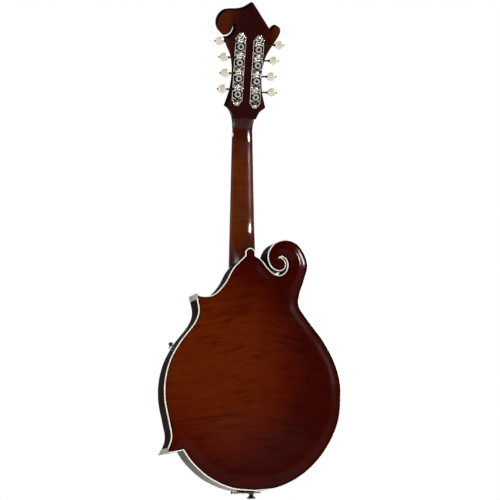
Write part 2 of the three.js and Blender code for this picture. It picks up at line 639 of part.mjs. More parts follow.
function gearOutline(x, z) {
  const points = [];
  for (let i = 0; i < GEAR_TEETH * 2; i += 1) {
    const angle = ((i + 0.5) / (GEAR_TEETH * 2)) * Math.PI * 2;
    const radius = Math.floor(i / 2) % 2 ? GEAR_R - 0.7 : GEAR_R;
    points.push([x + radius * Math.cos(angle), z + radius * Math.sin(angle)]);
  }
  return points;
}

function stringPost(label, k) {
  const [x, z] = postPlace(label, k);
  return rod([x, POST_TOP_Y, z], [x, GEAR_HIGH, z], POST_R, 10)
    .add(slab(gearOutline(x, z), GEAR_LOW, GEAR_HIGH));
}

for (const [label, side] of SIDES) {
  addPart(`tuner_plate_${label}`, tunerPlate(label), 'nickel', head);
  for (let k = 0; k < 4; k += 1) {
    addPart(`tuner_knob_${label}_${k + 1}`, tunerKnob(label, side, k), 'ivory', head);
    addPart(`string_post_${label}_${k + 1}`, stringPost(label, k), 'nickel', head);
  }
}

// --- Bridge ---------------------------------------------------------------------------------

const BRIDGE_HALF = 56;
const WHEEL_X = 37;
const BASE_TOP_Y = -40.8;
const WHEEL_LOW_Y = -42.8;
const WHEEL_HIGH_Y = -44.8;
const SADDLE_LOW_Y = -45.1;
const SADDLE_HIGH_Y = SADDLE_TOP_Y + 1.2;

let base = slab([[-BRIDGE_HALF, BRIDGE_Z - 5], [BRIDGE_HALF, BRIDGE_Z - 5], [BRIDGE_HALF, BRIDGE_Z + 5],
  [-BRIDGE_HALF, BRIDGE_Z + 5]], BASE_TOP_Y, -27);
for (const side of [-1, 1]) {
  base = base.subtract(block([Math.min(side * 45, side * 60), -60, 100], [Math.max(side * 45, side * 60), -38, 200]))
    .add(rod([side * WHEEL_X, SADDLE_LOW_Y - 2.6, BRIDGE_Z], [side * WHEEL_X, BASE_TOP_Y + 1, BRIDGE_Z], 1.5, 12));
}
addPart('bridge_base', largestPiece(base.subtract(frontEnvelope)), 'ebony');
let saddle = block([-45, SADDLE_HIGH_Y, BRIDGE_Z - 3.2], [45, SADDLE_LOW_Y, BRIDGE_Z + 3.2]);
for (const [label, side] of SIDES) {
  const x = side * WHEEL_X;
  saddle = saddle.subtract(rod([x, SADDLE_LOW_Y - 4.5, BRIDGE_Z], [x, -30, BRIDGE_Z], 1.9, 12));
  const wheel = rod([x, WHEEL_HIGH_Y, BRIDGE_Z], [x, WHEEL_LOW_Y, BRIDGE_Z], 4.8, 20)
    .subtract(rod([x, -60, BRIDGE_Z], [x, -20, BRIDGE_Z], 1.9, 12));
  addPart(`bridge_thumbwheel_${label}`, wheel, 'nickel');
}
addPart('bridge_saddle', saddle, 'ebony');

// --- Tailpiece and strap button -------------------------------------------------------------

const RAIL_X = 16;
const bodySkirt = slab(inset(OUTLINE, -GAP), -HALF_DEPTH - GAP, HALF_DEPTH);
const tailBase = block([-RAIL_X, -26, -1.2], [RAIL_X, -22, 42])
  .add(block([-RAIL_X, -26, -1.2], [RAIL_X, -6.5, 3]))
  .add(block([-RAIL_X, -35, 24], [1.5 - RAIL_X, -25, 42]))
  .add(block([RAIL_X - 1.5, -35, 24], [RAIL_X, -25, 42]))
  .add(block([-RAIL_X, -34, 24], [RAIL_X, -25, 27]))
  .subtract(bodySkirt).subtract(frontEnvelope);
addPart('tailpiece_base', largestPiece(tailBase), 'nickel');
const COVER_TRAVEL_ROOM = 0.6;
const coverOuter = block([-19.6, -40.5, -1], [19.6, -28, 60]);
const coverInner = block([-RAIL_X - COVER_TRAVEL_ROOM, -39.2, 0.2], [RAIL_X + COVER_TRAVEL_ROOM, -20, 80]);
const coverFoot = slab([[-30, 21], [30, 21], [30, 90], [-30, 90]], -34.8, -20);
addPart('tailpiece_cover', coverOuter.subtract(coverInner).subtract(coverFoot), 'nickel');

const buttonProfile = [[0, 0.4], [5.2, 0.4], [4.6, -0.8], [3.2, -3.4], [3.4, -5.4], [6.4, -7.2], [6.4, -8.4],
  [4.2, -9.6], [0, -9.6]].map(([r, z]) => new THREE.Vector2(r, z));
const strapButton = new THREE.LatheGeometry(buttonProfile.reverse(), 16);
strapButton.rotateX(Math.PI / 2);
strapButton.translate(0, 1, 0);
addPart('strap_button', solidOf(strapButton), 'black');

// --- Pickguard and its clamp ----------------------------------------------------------------

const GUARD_Y = -42;
const guardOutline = [[25, 286], [27, 287], [44, 268], [66, 246], [76, 226], [72, 200], [60, 184], [50, 176],
  [42, 174], [27, 174]];
addPart('pickguard', slab([...smooth(guardOutline, 2), [27, 174]], GUARD_Y, GUARD_Y + 1.6), 'black');
const CLAMP_Z = 207;
const clampPoints = [[70, GUARD_Y + 3.2], [88, GUARD_Y + 4], [104, -33], [110.5, -25], [111.5, -8], [110.5, 2]];
let clamp = null;
for (let i = 0; i < clampPoints.length - 1; i += 1) {
  const [ax, ay] = clampPoints[i];
  const [bx, by] = clampPoints[i + 1];
  const piece = rod([ax, ay, CLAMP_Z], [bx, by, CLAMP_Z], 1.1, 8)
    .add(rod([ax, ay - 1.05, CLAMP_Z], [ax, ay + 1.05, CLAMP_Z], 1.3, 8));
  clamp = clamp ? clamp.add(piece) : piece;
}
clamp = clamp.add(block([66, GUARD_Y + 1.6 + GAP, CLAMP_Z - 5], [78, GUARD_Y + 4, CLAMP_Z + 5]))
  .add(rod([109, 2, CLAMP_Z], [115, 2, CLAMP_Z], 3, 14));
addPart('pickguard_clamp', clamp, 'nickel');

// --- Strings --------------------------------------------------------------------------------

const COURSES = [['g', 0.5], ['d', 0.33], ['a', 0.2], ['e', 0.15]];
const NUT_SPREAD = 6.9;
const BRIDGE_SPREAD = 11.4;
const HITCH_SPREAD = 6.5;
const PAIR_HALF = 1.1;
const HITCH_Z = 27.3;
const HITCH_Y = -31;
const STRING_R_MIN = 0.2;

// Straight spans joined at the given points.
class Route extends THREE.Curve {
  constructor(points) {
    super();
    this.points = points;
  }

  getPoint(t) {
    const last = this.points.length - 1;
    const at = Math.min(Math.max(t, 0), 1) * last;
    const i = Math.min(Math.floor(at), last - 1);
    return this.points[i].clone().lerp(this.points[i + 1], at - i);
  }

  getUtoTmapping(u) {
    return u;
  }
}

function headPoint(x, y, z) {
  return new THREE.Vector3(x, y, z).applyMatrix4(head.matrix);
}

function stringRoute(x, postX, postZ, inner) {
  const nut = new THREE.Vector3(x * NUT_SPREAD + inner, -2.6, 4.8).applyMatrix4(board.matrix);
  const onPost = headPoint(postX - Math.sign(postX) * (POST_R + 0.8), POST_TOP_Y + 3, postZ - 1);
  const bridge = new THREE.Vector3(x * BRIDGE_SPREAD + inner * 1.3, SADDLE_TOP_Y, BRIDGE_Z);
  const hitch = new THREE.Vector3(x * HITCH_SPREAD + inner, HITCH_Y, HITCH_Z + GAP);
  return [hitch, bridge, nut, onPost];
}

function stringPart(label, radius, points) {
  const section = new THREE.Shape().absarc(0, 0, Math.max(radius, STRING_R_MIN), 0, Math.PI * 2);
  const route = new Route(points);
  const geometry = new THREE.ExtrudeGeometry(section, {
    steps: points.length - 1, curveSegments: 3, extrudePath: route, bevelEnabled: false,
  });
  addPart(label, solidOf(geometry), 'steel');
}

COURSES.forEach(([course, radius], c) => {
  const x = c - 1.5;
  [-1, 1].forEach((inner, i) => {
    const label = x < 0 ? 'bass' : 'treble';
    const order = x < 0 ? c * 2 + i : 7 - (c * 2 + i);
    const points = stringRoute(x, ...postPlace(label, order), inner * PAIR_HALF);
    stringPart(`string_${course}_${i + 1}`, radius, points);
  });
});

export default group;
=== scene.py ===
"""Looks of an F-style mandolin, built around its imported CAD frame.

Sizes here are millimetres until a piece is placed.
"""
import math

import bmesh
import bpy
import numpy as np
from mathutils import Matrix, Vector
from mathutils.geometry import delaunay_2d_cdt


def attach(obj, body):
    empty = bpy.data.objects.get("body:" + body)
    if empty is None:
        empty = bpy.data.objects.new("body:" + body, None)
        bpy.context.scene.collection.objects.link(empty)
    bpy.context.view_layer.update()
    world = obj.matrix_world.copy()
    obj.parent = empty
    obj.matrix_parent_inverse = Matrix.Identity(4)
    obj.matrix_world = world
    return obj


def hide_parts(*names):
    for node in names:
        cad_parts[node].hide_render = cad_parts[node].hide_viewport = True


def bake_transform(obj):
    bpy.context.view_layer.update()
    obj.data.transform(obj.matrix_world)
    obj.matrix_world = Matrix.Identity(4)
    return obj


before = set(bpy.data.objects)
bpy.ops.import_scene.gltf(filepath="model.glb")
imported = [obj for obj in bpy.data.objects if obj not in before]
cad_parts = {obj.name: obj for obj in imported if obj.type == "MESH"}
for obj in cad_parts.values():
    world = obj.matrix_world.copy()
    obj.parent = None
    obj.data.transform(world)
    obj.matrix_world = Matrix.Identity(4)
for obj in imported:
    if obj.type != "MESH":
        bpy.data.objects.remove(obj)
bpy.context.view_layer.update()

# --- Driving dimensions, the same as the CAD part's, heights measured up from the tail ---
MM = 0.001
YOKE = Vector((0, -8, 512))
HALF_DEPTH = 23.0
PLATE_EDGE = 4.5
ARCH_FRONT = 13.5
ARCH_BACK = 12.0
NUT_Z = 507.0
NUT_Y = -17.7
NECK_ANGLE = math.radians(5)
HEAD_ANGLE = math.radians(20)
HEAD_THICK = 14.0
OVERLAY_THICK = 1.5
FRETBOARD_THICK = 6.0
SCALE = 352.0
BRIDGE_Z = NUT_Z - SCALE * math.cos(NECK_ANGLE)
SADDLE_TOP_Y = -51.6
POST_PITCH = 22.7
POST_FIRST = {"bass": 55.8, "treble": 59.2}
POST_X = {"bass": -12.6, "treble": 13.8}
WORM_OFFSET = 7.2
SHAFT_Y = 3.9
BUTTON_X = {"bass": (-35.4, -33.0, -35.1, -41.9), "treble": (37.0, 34.6, 37.7, 45.1)}
GAP = 0.3
ROOT = "instrument"
SIDES = (("bass", -1), ("treble", 1))

INSTRUMENT = Matrix.Scale(MM, 4) @ Matrix.Translation(-YOKE)
TO_BODY = INSTRUMENT.inverted()
HEAD_Y = NUT_Y + HEAD_THICK / math.cos(HEAD_ANGLE)
HEAD = INSTRUMENT @ Matrix.Translation((0, HEAD_Y, NUT_Z)) @ Matrix.Rotation(-HEAD_ANGLE, 4, "X")
BOARD = INSTRUMENT @ Matrix.Translation((0, NUT_Y, NUT_Z)) @ Matrix.Rotation(-NECK_ANGLE, 4, "X")


# --- Camera ---
CAMERA_AZIMUTH = math.radians(166.0)
CAMERA_ELEVATION = math.radians(-7.3)
CAMERA_ROLL = math.radians(-1.06)
CAMERA_DISTANCE = 3.7908
CAMERA_FOCAL = 5.3535  # in frame widths
CAMERA_TARGET = INSTRUMENT @ Vector((-5.1, 0, 341.9))


def placed(name, data):
    """A new object in the scene."""
    thing = bpy.data.objects.new(name, data)
    bpy.context.scene.collection.objects.link(thing)
    return thing


def make_camera():
    data = bpy.data.cameras.new("camera")
    camera = placed("camera", data)
    away = Vector((
        math.sin(CAMERA_AZIMUTH) * math.cos(CAMERA_ELEVATION),
        -math.cos(CAMERA_AZIMUTH) * math.cos(CAMERA_ELEVATION),
        math.sin(CAMERA_ELEVATION),
    ))
    level = Vector((math.cos(CAMERA_AZIMUTH), math.sin(CAMERA_AZIMUTH), 0))
    up = away.cross(level)
    right = math.cos(CAMERA_ROLL) * level + math.sin(CAMERA_ROLL) * up
    up = away.cross(right)
    turn = Matrix((right, up, away)).transposed().to_4x4()
    camera.matrix_world = Matrix.Translation(CAMERA_TARGET + away * CAMERA_DISTANCE) @ turn
    data.sensor_width = 36
    data.lens = CAMERA_FOCAL * data.sensor_width
    data.clip_end = 20
    bpy.context.scene.camera = camera


make_camera()


# --- Mesh helpers ---
def add_mesh(name, vertices, faces, matrix, smooth=True):
    mesh = bpy.data.meshes.new(name)
    mesh.from_pydata([tuple(matrix @ Vector(v)) for v in vertices], [], faces)
    mesh.validate()
    mesh.update()
    if smooth:
        mesh.shade_smooth()
    return placed(name, mesh)


def fix_normals(piece):
    bm = bmesh.new()
    bm.from_mesh(piece.data)
    bmesh.ops.remove_doubles(bm, verts=bm.verts, dist=1e-6)
    bmesh.ops.recalc_face_normals(bm, faces=bm.faces)
    bm.to_mesh(piece.data)
    bm.free()
    return piece


def sharpen(piece, degrees=35):
    bpy.context.view_layer.objects.active = piece
    piece.data.shade_smooth()
    piece.data.set_sharp_from_angle(angle=math.radians(degrees))
    return piece


def settle(piece, body, slot, material, *nodes):
    """Gives a finished piece its material and body, and hides the CAD nodes it stands for. The slot is not
    used.
    """
    piece.data.materials.clear()
    piece.data.materials.append(material)
    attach(piece, body)
    if nodes:
        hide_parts(*nodes)
    return piece


def apply_modifiers(piece):
    depsgraph = bpy.context.evaluated_depsgraph_get()
    mesh = bpy.data.meshes.new_from_object(piece.evaluated_get(depsgraph))
    piece.modifiers.clear()
    piece.data = mesh
    return piece


def bevelled(piece, width, segments=2, angle=40):
    modifier = piece.modifiers.new("bevel", "BEVEL")
    modifier.width = width * MM
    modifier.segments = segments
    modifier.limit_method = "ANGLE"
    modifier.angle_limit = math.radians(angle)
    apply_modifiers(piece)
    return sharpen(piece)


def join(name, pieces):
    """Several closed meshes in one piece."""
    bm = bmesh.new()
    for piece in pieces:
        bm.from_mesh(piece.data)
    mesh = bpy.data.meshes.new(name)
    bm.to_mesh(mesh)
    bm.free()
    for piece in pieces:
        bpy.data.objects.remove(piece)
    return placed(name, mesh)


def cut(piece, tool):
    modifier = piece.modifiers.new("cut", "BOOLEAN")
    modifier.object = tool
    modifier.operation = "DIFFERENCE"
    modifier.solver = "EXACT"
    apply_modifiers(piece)
    bpy.data.objects.remove(tool)
    return piece


def at(a, b, ta, tb, t):
    """The point at t on the line through a at ta and b at tb."""
    return (tb - t) / (tb - ta) * a + (t - ta) / (tb - ta) * b


def spline(points, steps, closed=False):
    """Centripetal Catmull-Rom samples through given points, without the last point if open."""
    pts = [np.array(p, float) for p in points]
    if closed:
        padded = [pts[-1], *pts, pts[0], pts[1]]
    else:
        padded = [2 * pts[0] - pts[1], *pts, 2 * pts[-1] - pts[-2]]
    samples = []
    for i in range(1, len(padded) - 2):
        p0, p1, p2, p3 = padded[i - 1:i + 3]
        t0 = 0.0
        t1 = t0 + max(np.linalg.norm(p1 - p0), 1e-6) ** 0.5
        t2 = t1 + max(np.linalg.norm(p2 - p1), 1e-6) ** 0.5
        t3 = t2 + max(np.linalg.norm(p3 - p2), 1e-6) ** 0.5
        for k in range(steps):
            t = t1 + (t2 - t1) * k / steps
            a1 = at(p0, p1, t0, t1, t)
            a2 = at(p1, p2, t1, t2, t)
            a3 = at(p2, p3, t2, t3, t)
            b1 = at(a1, a2, t0, t2, t)
            b2 = at(a2, a3, t1, t3, t)
            samples.append(at(b1, b2, t1, t2, t))
    return samples


def curve(points, steps):
    """An open spline with its last point."""
    return [*spline(points, steps), np.array(points[-1], float)]


def rectangle(x_low, z_low, x_high, z_high):
    return [(x_low, z_low), (x_high, z_low), (x_high, z_high), (x_low, z_high)]


def round_loop(x, z, count, radius):
    """A closed loop round a centre, with its radius a function of the angle."""
    angles = [2 * math.pi * i / count for i in range(count)]
    return [(x + radius(a) * math.cos(a), z + radius(a) * math.sin(a)) for a in angles]


def circle(middle, radius, first, second, sides):
    """Points round a middle, in the plane of two unit directions."""
    angles = [2 * math.pi * i / sides for i in range(sides)]
    return [middle + radius * (math.cos(a) * first + math.sin(a) * second) for a in angles]


def join_spans(spans, steps):
    return np.array([p for span in spans for p in spline(span, steps if len(span) > 2 else 2)])


def area_of(loop):
    nxt = np.roll(loop, -1, axis=0)
    return float(np.sum(loop[:, 0] * nxt[:, 1] - nxt[:, 0] * loop[:, 1]) / 2)


def inset(loop, distance):
    """Every point of a closed loop moved inwards along its corner's bisector."""
    before = loop - np.roll(loop, 1, axis=0)
    after = np.roll(loop, -1, axis=0) - loop
    before /= np.linalg.norm(before, axis=1)[:, None]
    after /= np.linalg.norm(after, axis=1)[:, None]
    side = math.copysign(1, area_of(loop))
    normal = np.stack([-(before + after)[:, 1], (before + after)[:, 0]], 1) * side
    normal /= np.maximum(np.linalg.norm(normal, axis=1), 1e-9)[:, None]
    lean = np.sum(normal * np.stack([-before[:, 1], before[:, 0]], 1) * side, axis=1)
    return loop + normal * (distance / np.maximum(lean, 0.35))[:, None]


def distance_to(points, loop):
    """Distance from each point to a closed loop."""
    best = np.full(len(points), 1e9)
    nxt = np.roll(loop, -1, axis=0)
    for a, b in zip(loop, nxt):
        span = b - a
        t = np.clip(((points - a) @ span) / max(span @ span, 1e-9), 0, 1)
        best = np.minimum(best, np.linalg.norm(points - a - t[:, None] * span, axis=1))
    return best


def inside(points, loop):
    """Which points lie inside a closed loop."""
    odd = np.zeros(len(points), bool)
    nxt = np.roll(loop, -1, axis=0)
    x, z = points[:, 0], points[:, 1]
    for (ax, az), (bx, bz) in zip(loop, nxt):
        if az == bz:
            continue
        crosses = ((az > z) != (bz > z)) & (x < (bx - ax) * (z - az) / (bz - az) + ax)
        odd ^= crosses
    return odd


def triangulated(points, edges, rim, holes=()):
    """Flat triangles between the edges, kept inside the rim and outside the holes."""
    out = delaunay_2d_cdt([Vector(p) for p in points], edges, [], 0, 1e-6)
    vertices = np.array([tuple(v) for v in out[0]])
    centres = np.array([vertices[list(f)].mean(0) for f in out[2]])
    keep = inside(centres, rim)
    for hole in holes:
        keep &= ~inside(centres, hole)
    return vertices, [f for f, k in zip(out[2], keep) if k]


def slab(name, loop, y_low, y_high, matrix=INSTRUMENT, holes=()):
    """A flat outline in X and Z made solid between two depths."""
    loops = [np.array(points, float) for points in (loop, *holes)]
    edges = []
    start = 0
    for points in loops:
        n = len(points)
        edges += [(start + i, start + (i + 1) % n) for i in range(n)]
        start += n
    vertices, faces = triangulated(np.concatenate(loops), edges, loops[0], loops[1:])
    return thicken(name, vertices, faces, [y_low] * len(vertices), [y_high] * len(vertices), matrix)


def thicken(name, vertices, faces, low, high, matrix=INSTRUMENT):
    """A closed solid between two height fields over the same flat triangles."""
    n = len(vertices)
    solid = [(x, h, z) for heights in (high, low) for (x, z), h in zip(vertices, heights)]
    count = {}
    for f in faces:
        for a, b in zip(f, (*f[1:], f[0])):
            count[(a, b)] = count.get((a, b), 0) + 1
    walls = [(a, b, b + n, a + n) for (a, b) in count if (b, a) not in count]
    quads = [tuple(f) for f in faces] + [tuple(reversed([i + n for i in f])) for f in faces]
    quads += [tuple(reversed(w)) for w in walls]
    piece = add_mesh(name, solid, quads, matrix)
    return fix_normals(piece)


def sweep(name, loop, section):
    """A section of (inset, depth) points carried round a closed outline."""
    rings = [inset(loop, d) for d, _ in section]
    n = len(loop)
    m = len(section)
    vertices = [(rings[j][i][0], section[j][1], rings[j][i][1]) for i in range(n) for j in range(m)]
    faces = []
    for i in range(n):
        k = (i + 1) % n
        for j in range(m):
            faces.append((i * m + j, k * m + j, k * m + (j + 1) % m, i * m + (j + 1) % m))
    return fix_normals(add_mesh(name, vertices, faces, INSTRUMENT))


def loft(name, rings, matrix=INSTRUMENT):
    """A closed skin through rings that have the same number of points."""
    n = len(rings[0])
    vertices = [p for ring in rings for p in ring]
    faces = []
    for r in range(len(rings) - 1):
        for i in range(n):
            k = (i + 1) % n
            faces.append((r * n + i, r * n + k, (r + 1) * n + k, (r + 1) * n + i))
    faces.append(tuple(range(n)))
    faces.append(tuple(range((len(rings) - 1) * n, len(rings) * n)))
    return fix_normals(add_mesh(name, vertices, faces, matrix))


def turned(name, profile, axis, centre, matrix=INSTRUMENT, sides=32):
    """A turned piece: profile of (distance along the axis, radius), from one end to the other."""
    along = Vector(axis).normalized()
    across = along.orthogonal().normalized()
    third = along.cross(across)
    rings = []
    for distance, radius in profile:
        rings.append(circle(Vector(centre) + along * distance, radius, across, third, sides))
    return sharpen(loft(name, rings, matrix), 40)


def tube(name, points, radius, matrix=INSTRUMENT, sides=12):
    """A round wire along points, with its frame carried from one to the next."""
    pts = [Vector(p) for p in points]
    normal = (pts[1] - pts[0]).orthogonal().normalized()
    rings = []
    for i, point in enumerate(pts):
        ahead = pts[min(i + 1, len(pts) - 1)] - pts[max(i - 1, 0)]
        ahead.normalize()
        normal = (normal - ahead * normal.dot(ahead)).normalized()
        rings.append(circle(point, radius, normal, ahead.cross(normal), sides))
    return sharpen(loft(name, rings, matrix), 50)


# --- Materials ---
def colour(red, green, blue):
    """An 8-bit screen colour as the linear colour that a shader takes."""
    linear = []
    for value in (red, green, blue):
        share = value / 255
        linear.append(share / 12.92 if share <= 0.04045 else ((share + 0.055) / 1.055) ** 2.4)
    return (*linear, 1.0)


class Surface:
    """A material on one Principled shader, with short calls for the nodes that feed it."""

    def __init__(self, name, **inputs):
        self.material = bpy.data.materials.new(name)
        self.material.use_nodes = True
        self.tree = self.material.node_tree
        self.shader = self.tree.nodes["Principled BSDF"]
        for key, value in inputs.items():
            self.shader.inputs[key.replace("_", " ")].default_value = value
        self.place = self.add("ShaderNodeTexCoord").outputs["Object"]

    def add(self, kind, inputs=None, **settings):
        node = self.tree.nodes.new(kind)
        for key, value in settings.items():
            setattr(node, key, value)
        for key, value in (inputs or {}).items():
            if isinstance(value, bpy.types.NodeSocket):
                self.tree.links.new(value, node.inputs[key])
            else:
                node.inputs[key].default_value = value
        return node

    def math(self, operation, a, b=0.0):
        return self.add("ShaderNodeMath", {0: a, 1: b}, operation=operation).outputs[0]

    def stretched(self, x, y, z):
        """Object coordinates scaled by so many repeats a metre along each axis."""
        return self.add("ShaderNodeMapping", {"Vector": self.place, "Scale": (x, y, z)}).outputs[0]

    def away(self, centre, reach):
        """Distance from a centre, as a share of the reach along each axis."""
        near = self.add("ShaderNodeMapping", {
            "Vector": self.place,
            "Location": tuple(-c / r for c, r in zip(centre, reach)),
            "Scale": tuple(1 / r for r in reach),
        }).outputs[0]
        return self.add("ShaderNodeVectorMath", {0: near}, operation="LENGTH").outputs["Value"]

    def noise(self, vector, scale=1.0, detail=3.0, roughness=0.5, distortion=0.0):
        inputs = {"Vector": vector, "Scale": scale, "Detail": detail, "Roughness": roughness,
                  "Distortion": distortion}
        return self.add("ShaderNodeTexNoise", inputs).outputs[0]

    def ramp(self, factor, stops):
        node = self.add("ShaderNodeValToRGB", {0: factor})
        elements = node.color_ramp.elements
        while len(elements) < len(stops):
            elements.new(0.5)
        for element, (place, tint) in zip(elements, stops):
            element.position = place
            element.color = tint if hasattr(tint, "__len__") else (tint, tint, tint, 1)
        return node.outputs[0]

    def clouded(self, cloud, base, other):
        return self.ramp(cloud, [(0.3, base), (0.7, other)])

    def between(self, factor, low, high, smooth=True, to=(0.0, 1.0)):
        """Goes from to[0] to to[1] as factor goes from low to high."""
        kind = "SMOOTHSTEP" if smooth else "LINEAR"
        inputs = {"Value": factor, "From Min": low, "From Max": high, "To Min": to[0], "To Max": to[1]}
        return self.add("ShaderNodeMapRange", inputs, interpolation_type=kind).outputs[0]

    def mix(self, factor, a, b, blend="MIX"):
        node = self.add("ShaderNodeMix", data_type="RGBA", blend_type=blend)
        for socket, value in ((node.inputs[0], factor), (node.inputs[6], a), (node.inputs[7], b)):
            if isinstance(value, bpy.types.NodeSocket):
                self.tree.links.new(value, socket)
            else:
                socket.default_value = value
        return node.outputs[2]

    def attribute(self, name):
        return self.add("ShaderNodeAttribute", attribute_name=name).outputs["Fac"]

    def use(self, socket, value):
        self.tree.links.new(value, self.shader.inputs[socket])

    def bump(self, height, distance, strength=1.0):
        inputs = {"Height": height, "Distance": distance, "Strength": strength}
        self.use("Normal", self.add("ShaderNodeBump", inputs).outputs[0])


def flame(surface, slope, pitch):
    """Curly maple figure: broken dark streaks across the grain, falling away from the centre seam."""
    parts = surface.add("ShaderNodeSeparateXYZ", {0: surface.place})
    side = surface.math("ABSOLUTE", parts.outputs[0])
    height = surface.math("MULTIPLY_ADD", side, slope)
    surface.tree.links.new(parts.outputs[2], height.node.inputs[2])
    leaning = surface.add("ShaderNodeCombineXYZ", {0: parts.outputs[0], 1: parts.outputs[1], 2: height})

    def streaks(repeats, detail, distortion, low, high, share):
        inputs = {"Vector": leaning.outputs[0], "Scale": repeats}
        place = surface.add("ShaderNodeMapping", inputs).outputs[0]
        marks = surface.between(surface.noise(place, 1.0, detail, 0.5, distortion), low, high)
        return surface.math("MULTIPLY", marks, share)

    broad = streaks((21, 10, 1000 / pitch), 2.0, 0.6, 0.34, 0.5, 0.6)
    fine = streaks((34, 20, 2400 / pitch), 3.0, 0.4, 0.32, 0.52, 0.4)
    patches = surface.between(surface.noise(surface.stretched(22, 10, 30), 1.0, 2.0), 0.35, 0.6)
    patches = surface.math("MULTIPLY", patches, 0.75)
    return surface.math("MAXIMUM", surface.math("ADD", broad, fine), patches)


def burst_maple(name, centre, reach, bright, middle, edge, figure, slope, pitch, shine, edge_line=None):
    """Stained and lacquered maple: bright in the middle, darker outwards, with curly figure."""
    surface = Surface(name, IOR=1.4, Specular_IOR_Level=shine)
    curls = flame(surface, slope, pitch)
    blotch = surface.noise(surface.stretched(16, 16, 7), 1.0, 3.0, 0.55)
    uneven = surface.math("MULTIPLY", surface.math("SUBTRACT", blotch, 0.5), 0.35)
    away = surface.math("ADD", surface.away(centre, reach), uneven)
    tint = surface.ramp(away, [(0.0, bright), (0.45, bright), (0.78, middle), (1.0, edge)])
    dark = surface.mix(1.0, tint, (0.3, 0.2, 0.15, 1), "MULTIPLY")
    light = surface.mix(1.0, tint, (1.12, 1.16, 1.16, 1), "MULTIPLY")
    striped = surface.mix(curls, dark, light)
    tint = surface.mix(figure, tint, striped)
    grain = surface.noise(surface.stretched(900, 900, 24), 1.0, 2.0)
    tint = surface.mix(surface.math("MULTIPLY", grain, 0.25), tint, (0.004, 0.001, 0.0005, 1))
    if edge_line:
        clear = surface.between(surface.attribute("edge"), *edge_line)
        tint = surface.mix(clear, (0.0015, 0.0008, 0.0006, 1), tint)
    surface.use("Base Color", tint)
    wear = surface.noise(surface.place, 60.0, 4.0, 0.6)
    surface.use("Roughness", surface.between(wear, 0.0, 1.0, False, (0.1, 0.24)))
    surface.bump(surface.noise(surface.place, 9.0, 1.0), 0.0006, 0.25)
    return surface.material


def varied(name, base, other, scale, rough=(0.25, 0.4), bump=0.0, stretch=(1, 1, 1), **inputs):
    """A plain finish with slow colour variation, uneven gloss and a fine surface."""
    surface = Surface(name, **inputs)
    cloud = surface.noise(surface.stretched(*(scale * s for s in stretch)), 1.0, 4.0, 0.6)
    surface.use("Base Color", surface.clouded(cloud, base, other))
    gloss = surface.noise(surface.stretched(*(2.5 * scale * s for s in stretch)), 1.0, 3.0, 0.6)
    surface.use("Roughness", surface.between(gloss, 0.25, 0.75, False, rough))
    if bump:
        surface.bump(cloud, bump, 0.5)
    return surface.material


def edge_lined(surface, rise, fall, haze, base, other, line):
    """A clouded colour with a line of another colour along the outline, between two distances."""
    edge = surface.attribute("edge")
    band = surface.math("MULTIPLY", surface.between(edge, *rise), surface.between(edge, *fall))
    cloud = surface.clouded(surface.noise(surface.place, *haze), base, other)
    surface.use("Base Color", surface.mix(band, cloud, line))
    return surface


def pearly(name, scale, distortion, stops, **inputs):
    surface = Surface(name, **inputs)
    swirl = surface.noise(surface.place, scale, 2.0, 0.5, distortion)
    surface.use("Base Color", surface.ramp(swirl, stops))
    return surface.material


BODY_MIDDLE = (0.052, 0.03, -0.325)
back_maple = burst_maple("back_maple", BODY_MIDDLE, (0.135, 0.4, 0.155), colour(99, 32, 3),
                         colour(79, 16, 1), colour(60, 6, 1), 0.7, 0.17, 6.5, 0.07, (2.0, 3.4))
neck_maple = burst_maple("neck_maple", (0.006, 0.01, -0.09), (0.05, 0.2, 0.11), colour(96, 38, 6),
                         colour(66, 16, 4), colour(44, 5, 3), 0.5, 0.05, 8.0, 0.2)
rib_maple = burst_maple("rib_maple", (0.0, 0.0, -0.35), (0.9, 0.12, 0.9), colour(26, 12, 8),
                        colour(20, 8, 5), colour(12, 4, 3), 0.7, 0.02, 10.0, 0.02)
GRAIN_UP = (12, 12, 1)
GRAIN_ACROSS = (1, 12, 12)
ivoroid = varied("ivoroid", colour(255, 251, 242), colour(250, 242, 224), 90, stretch=(6, 1, 1))
cap_ivoroid = varied("cap_ivoroid", colour(176, 168, 152), colour(140, 131, 116), 60, (0.3, 0.45),
                     stretch=(1, 1, 5))
bone = varied("bone_material", colour(234, 226, 208), colour(214, 202, 176), 180, (0.3, 0.5), 0.00005)
ebony = varied("ebony_material", colour(22, 18, 17), colour(12, 10, 9), 40, (0.35, 0.55), 0.0001, GRAIN_UP)
ebony_across = varied("ebony_across", colour(24, 20, 18), colour(12, 10, 9), 40, (0.3, 0.5), 0.0001,
                      GRAIN_ACROSS)
gloss_black = varied("gloss_black", colour(9, 8, 8), colour(16, 14, 13), 30, (0.06, 0.16), Coat_Weight=0.4)
button_black = varied("button_black", colour(14, 13, 13), colour(26, 24, 23), 120, (0.25, 0.42), 0.00003)
bare_wood = varied("bare_wood", colour(196, 158, 108), colour(168, 124, 78), 40, (0.6, 0.8), 0.0001,
                   GRAIN_UP)
nickel = varied("nickel_material", colour(202, 198, 188), colour(166, 160, 148), 150, (0.14, 0.3), 0.00002,
                Metallic=1.0)
frets = varied("fret_wire", colour(206, 202, 192), colour(176, 170, 158), 300, (0.15, 0.3), Metallic=1.0)
dark_metal = varied("dark_metal", colour(46, 42, 38), colour(24, 22, 20), 300, (0.25, 0.45), 0.00003,
                    Metallic=1.0)
rod_steel = varied("rod_steel_material", colour(120, 120, 122), colour(82, 82, 84), 200, (0.3, 0.5), 0.00002,
                   Metallic=1.0)
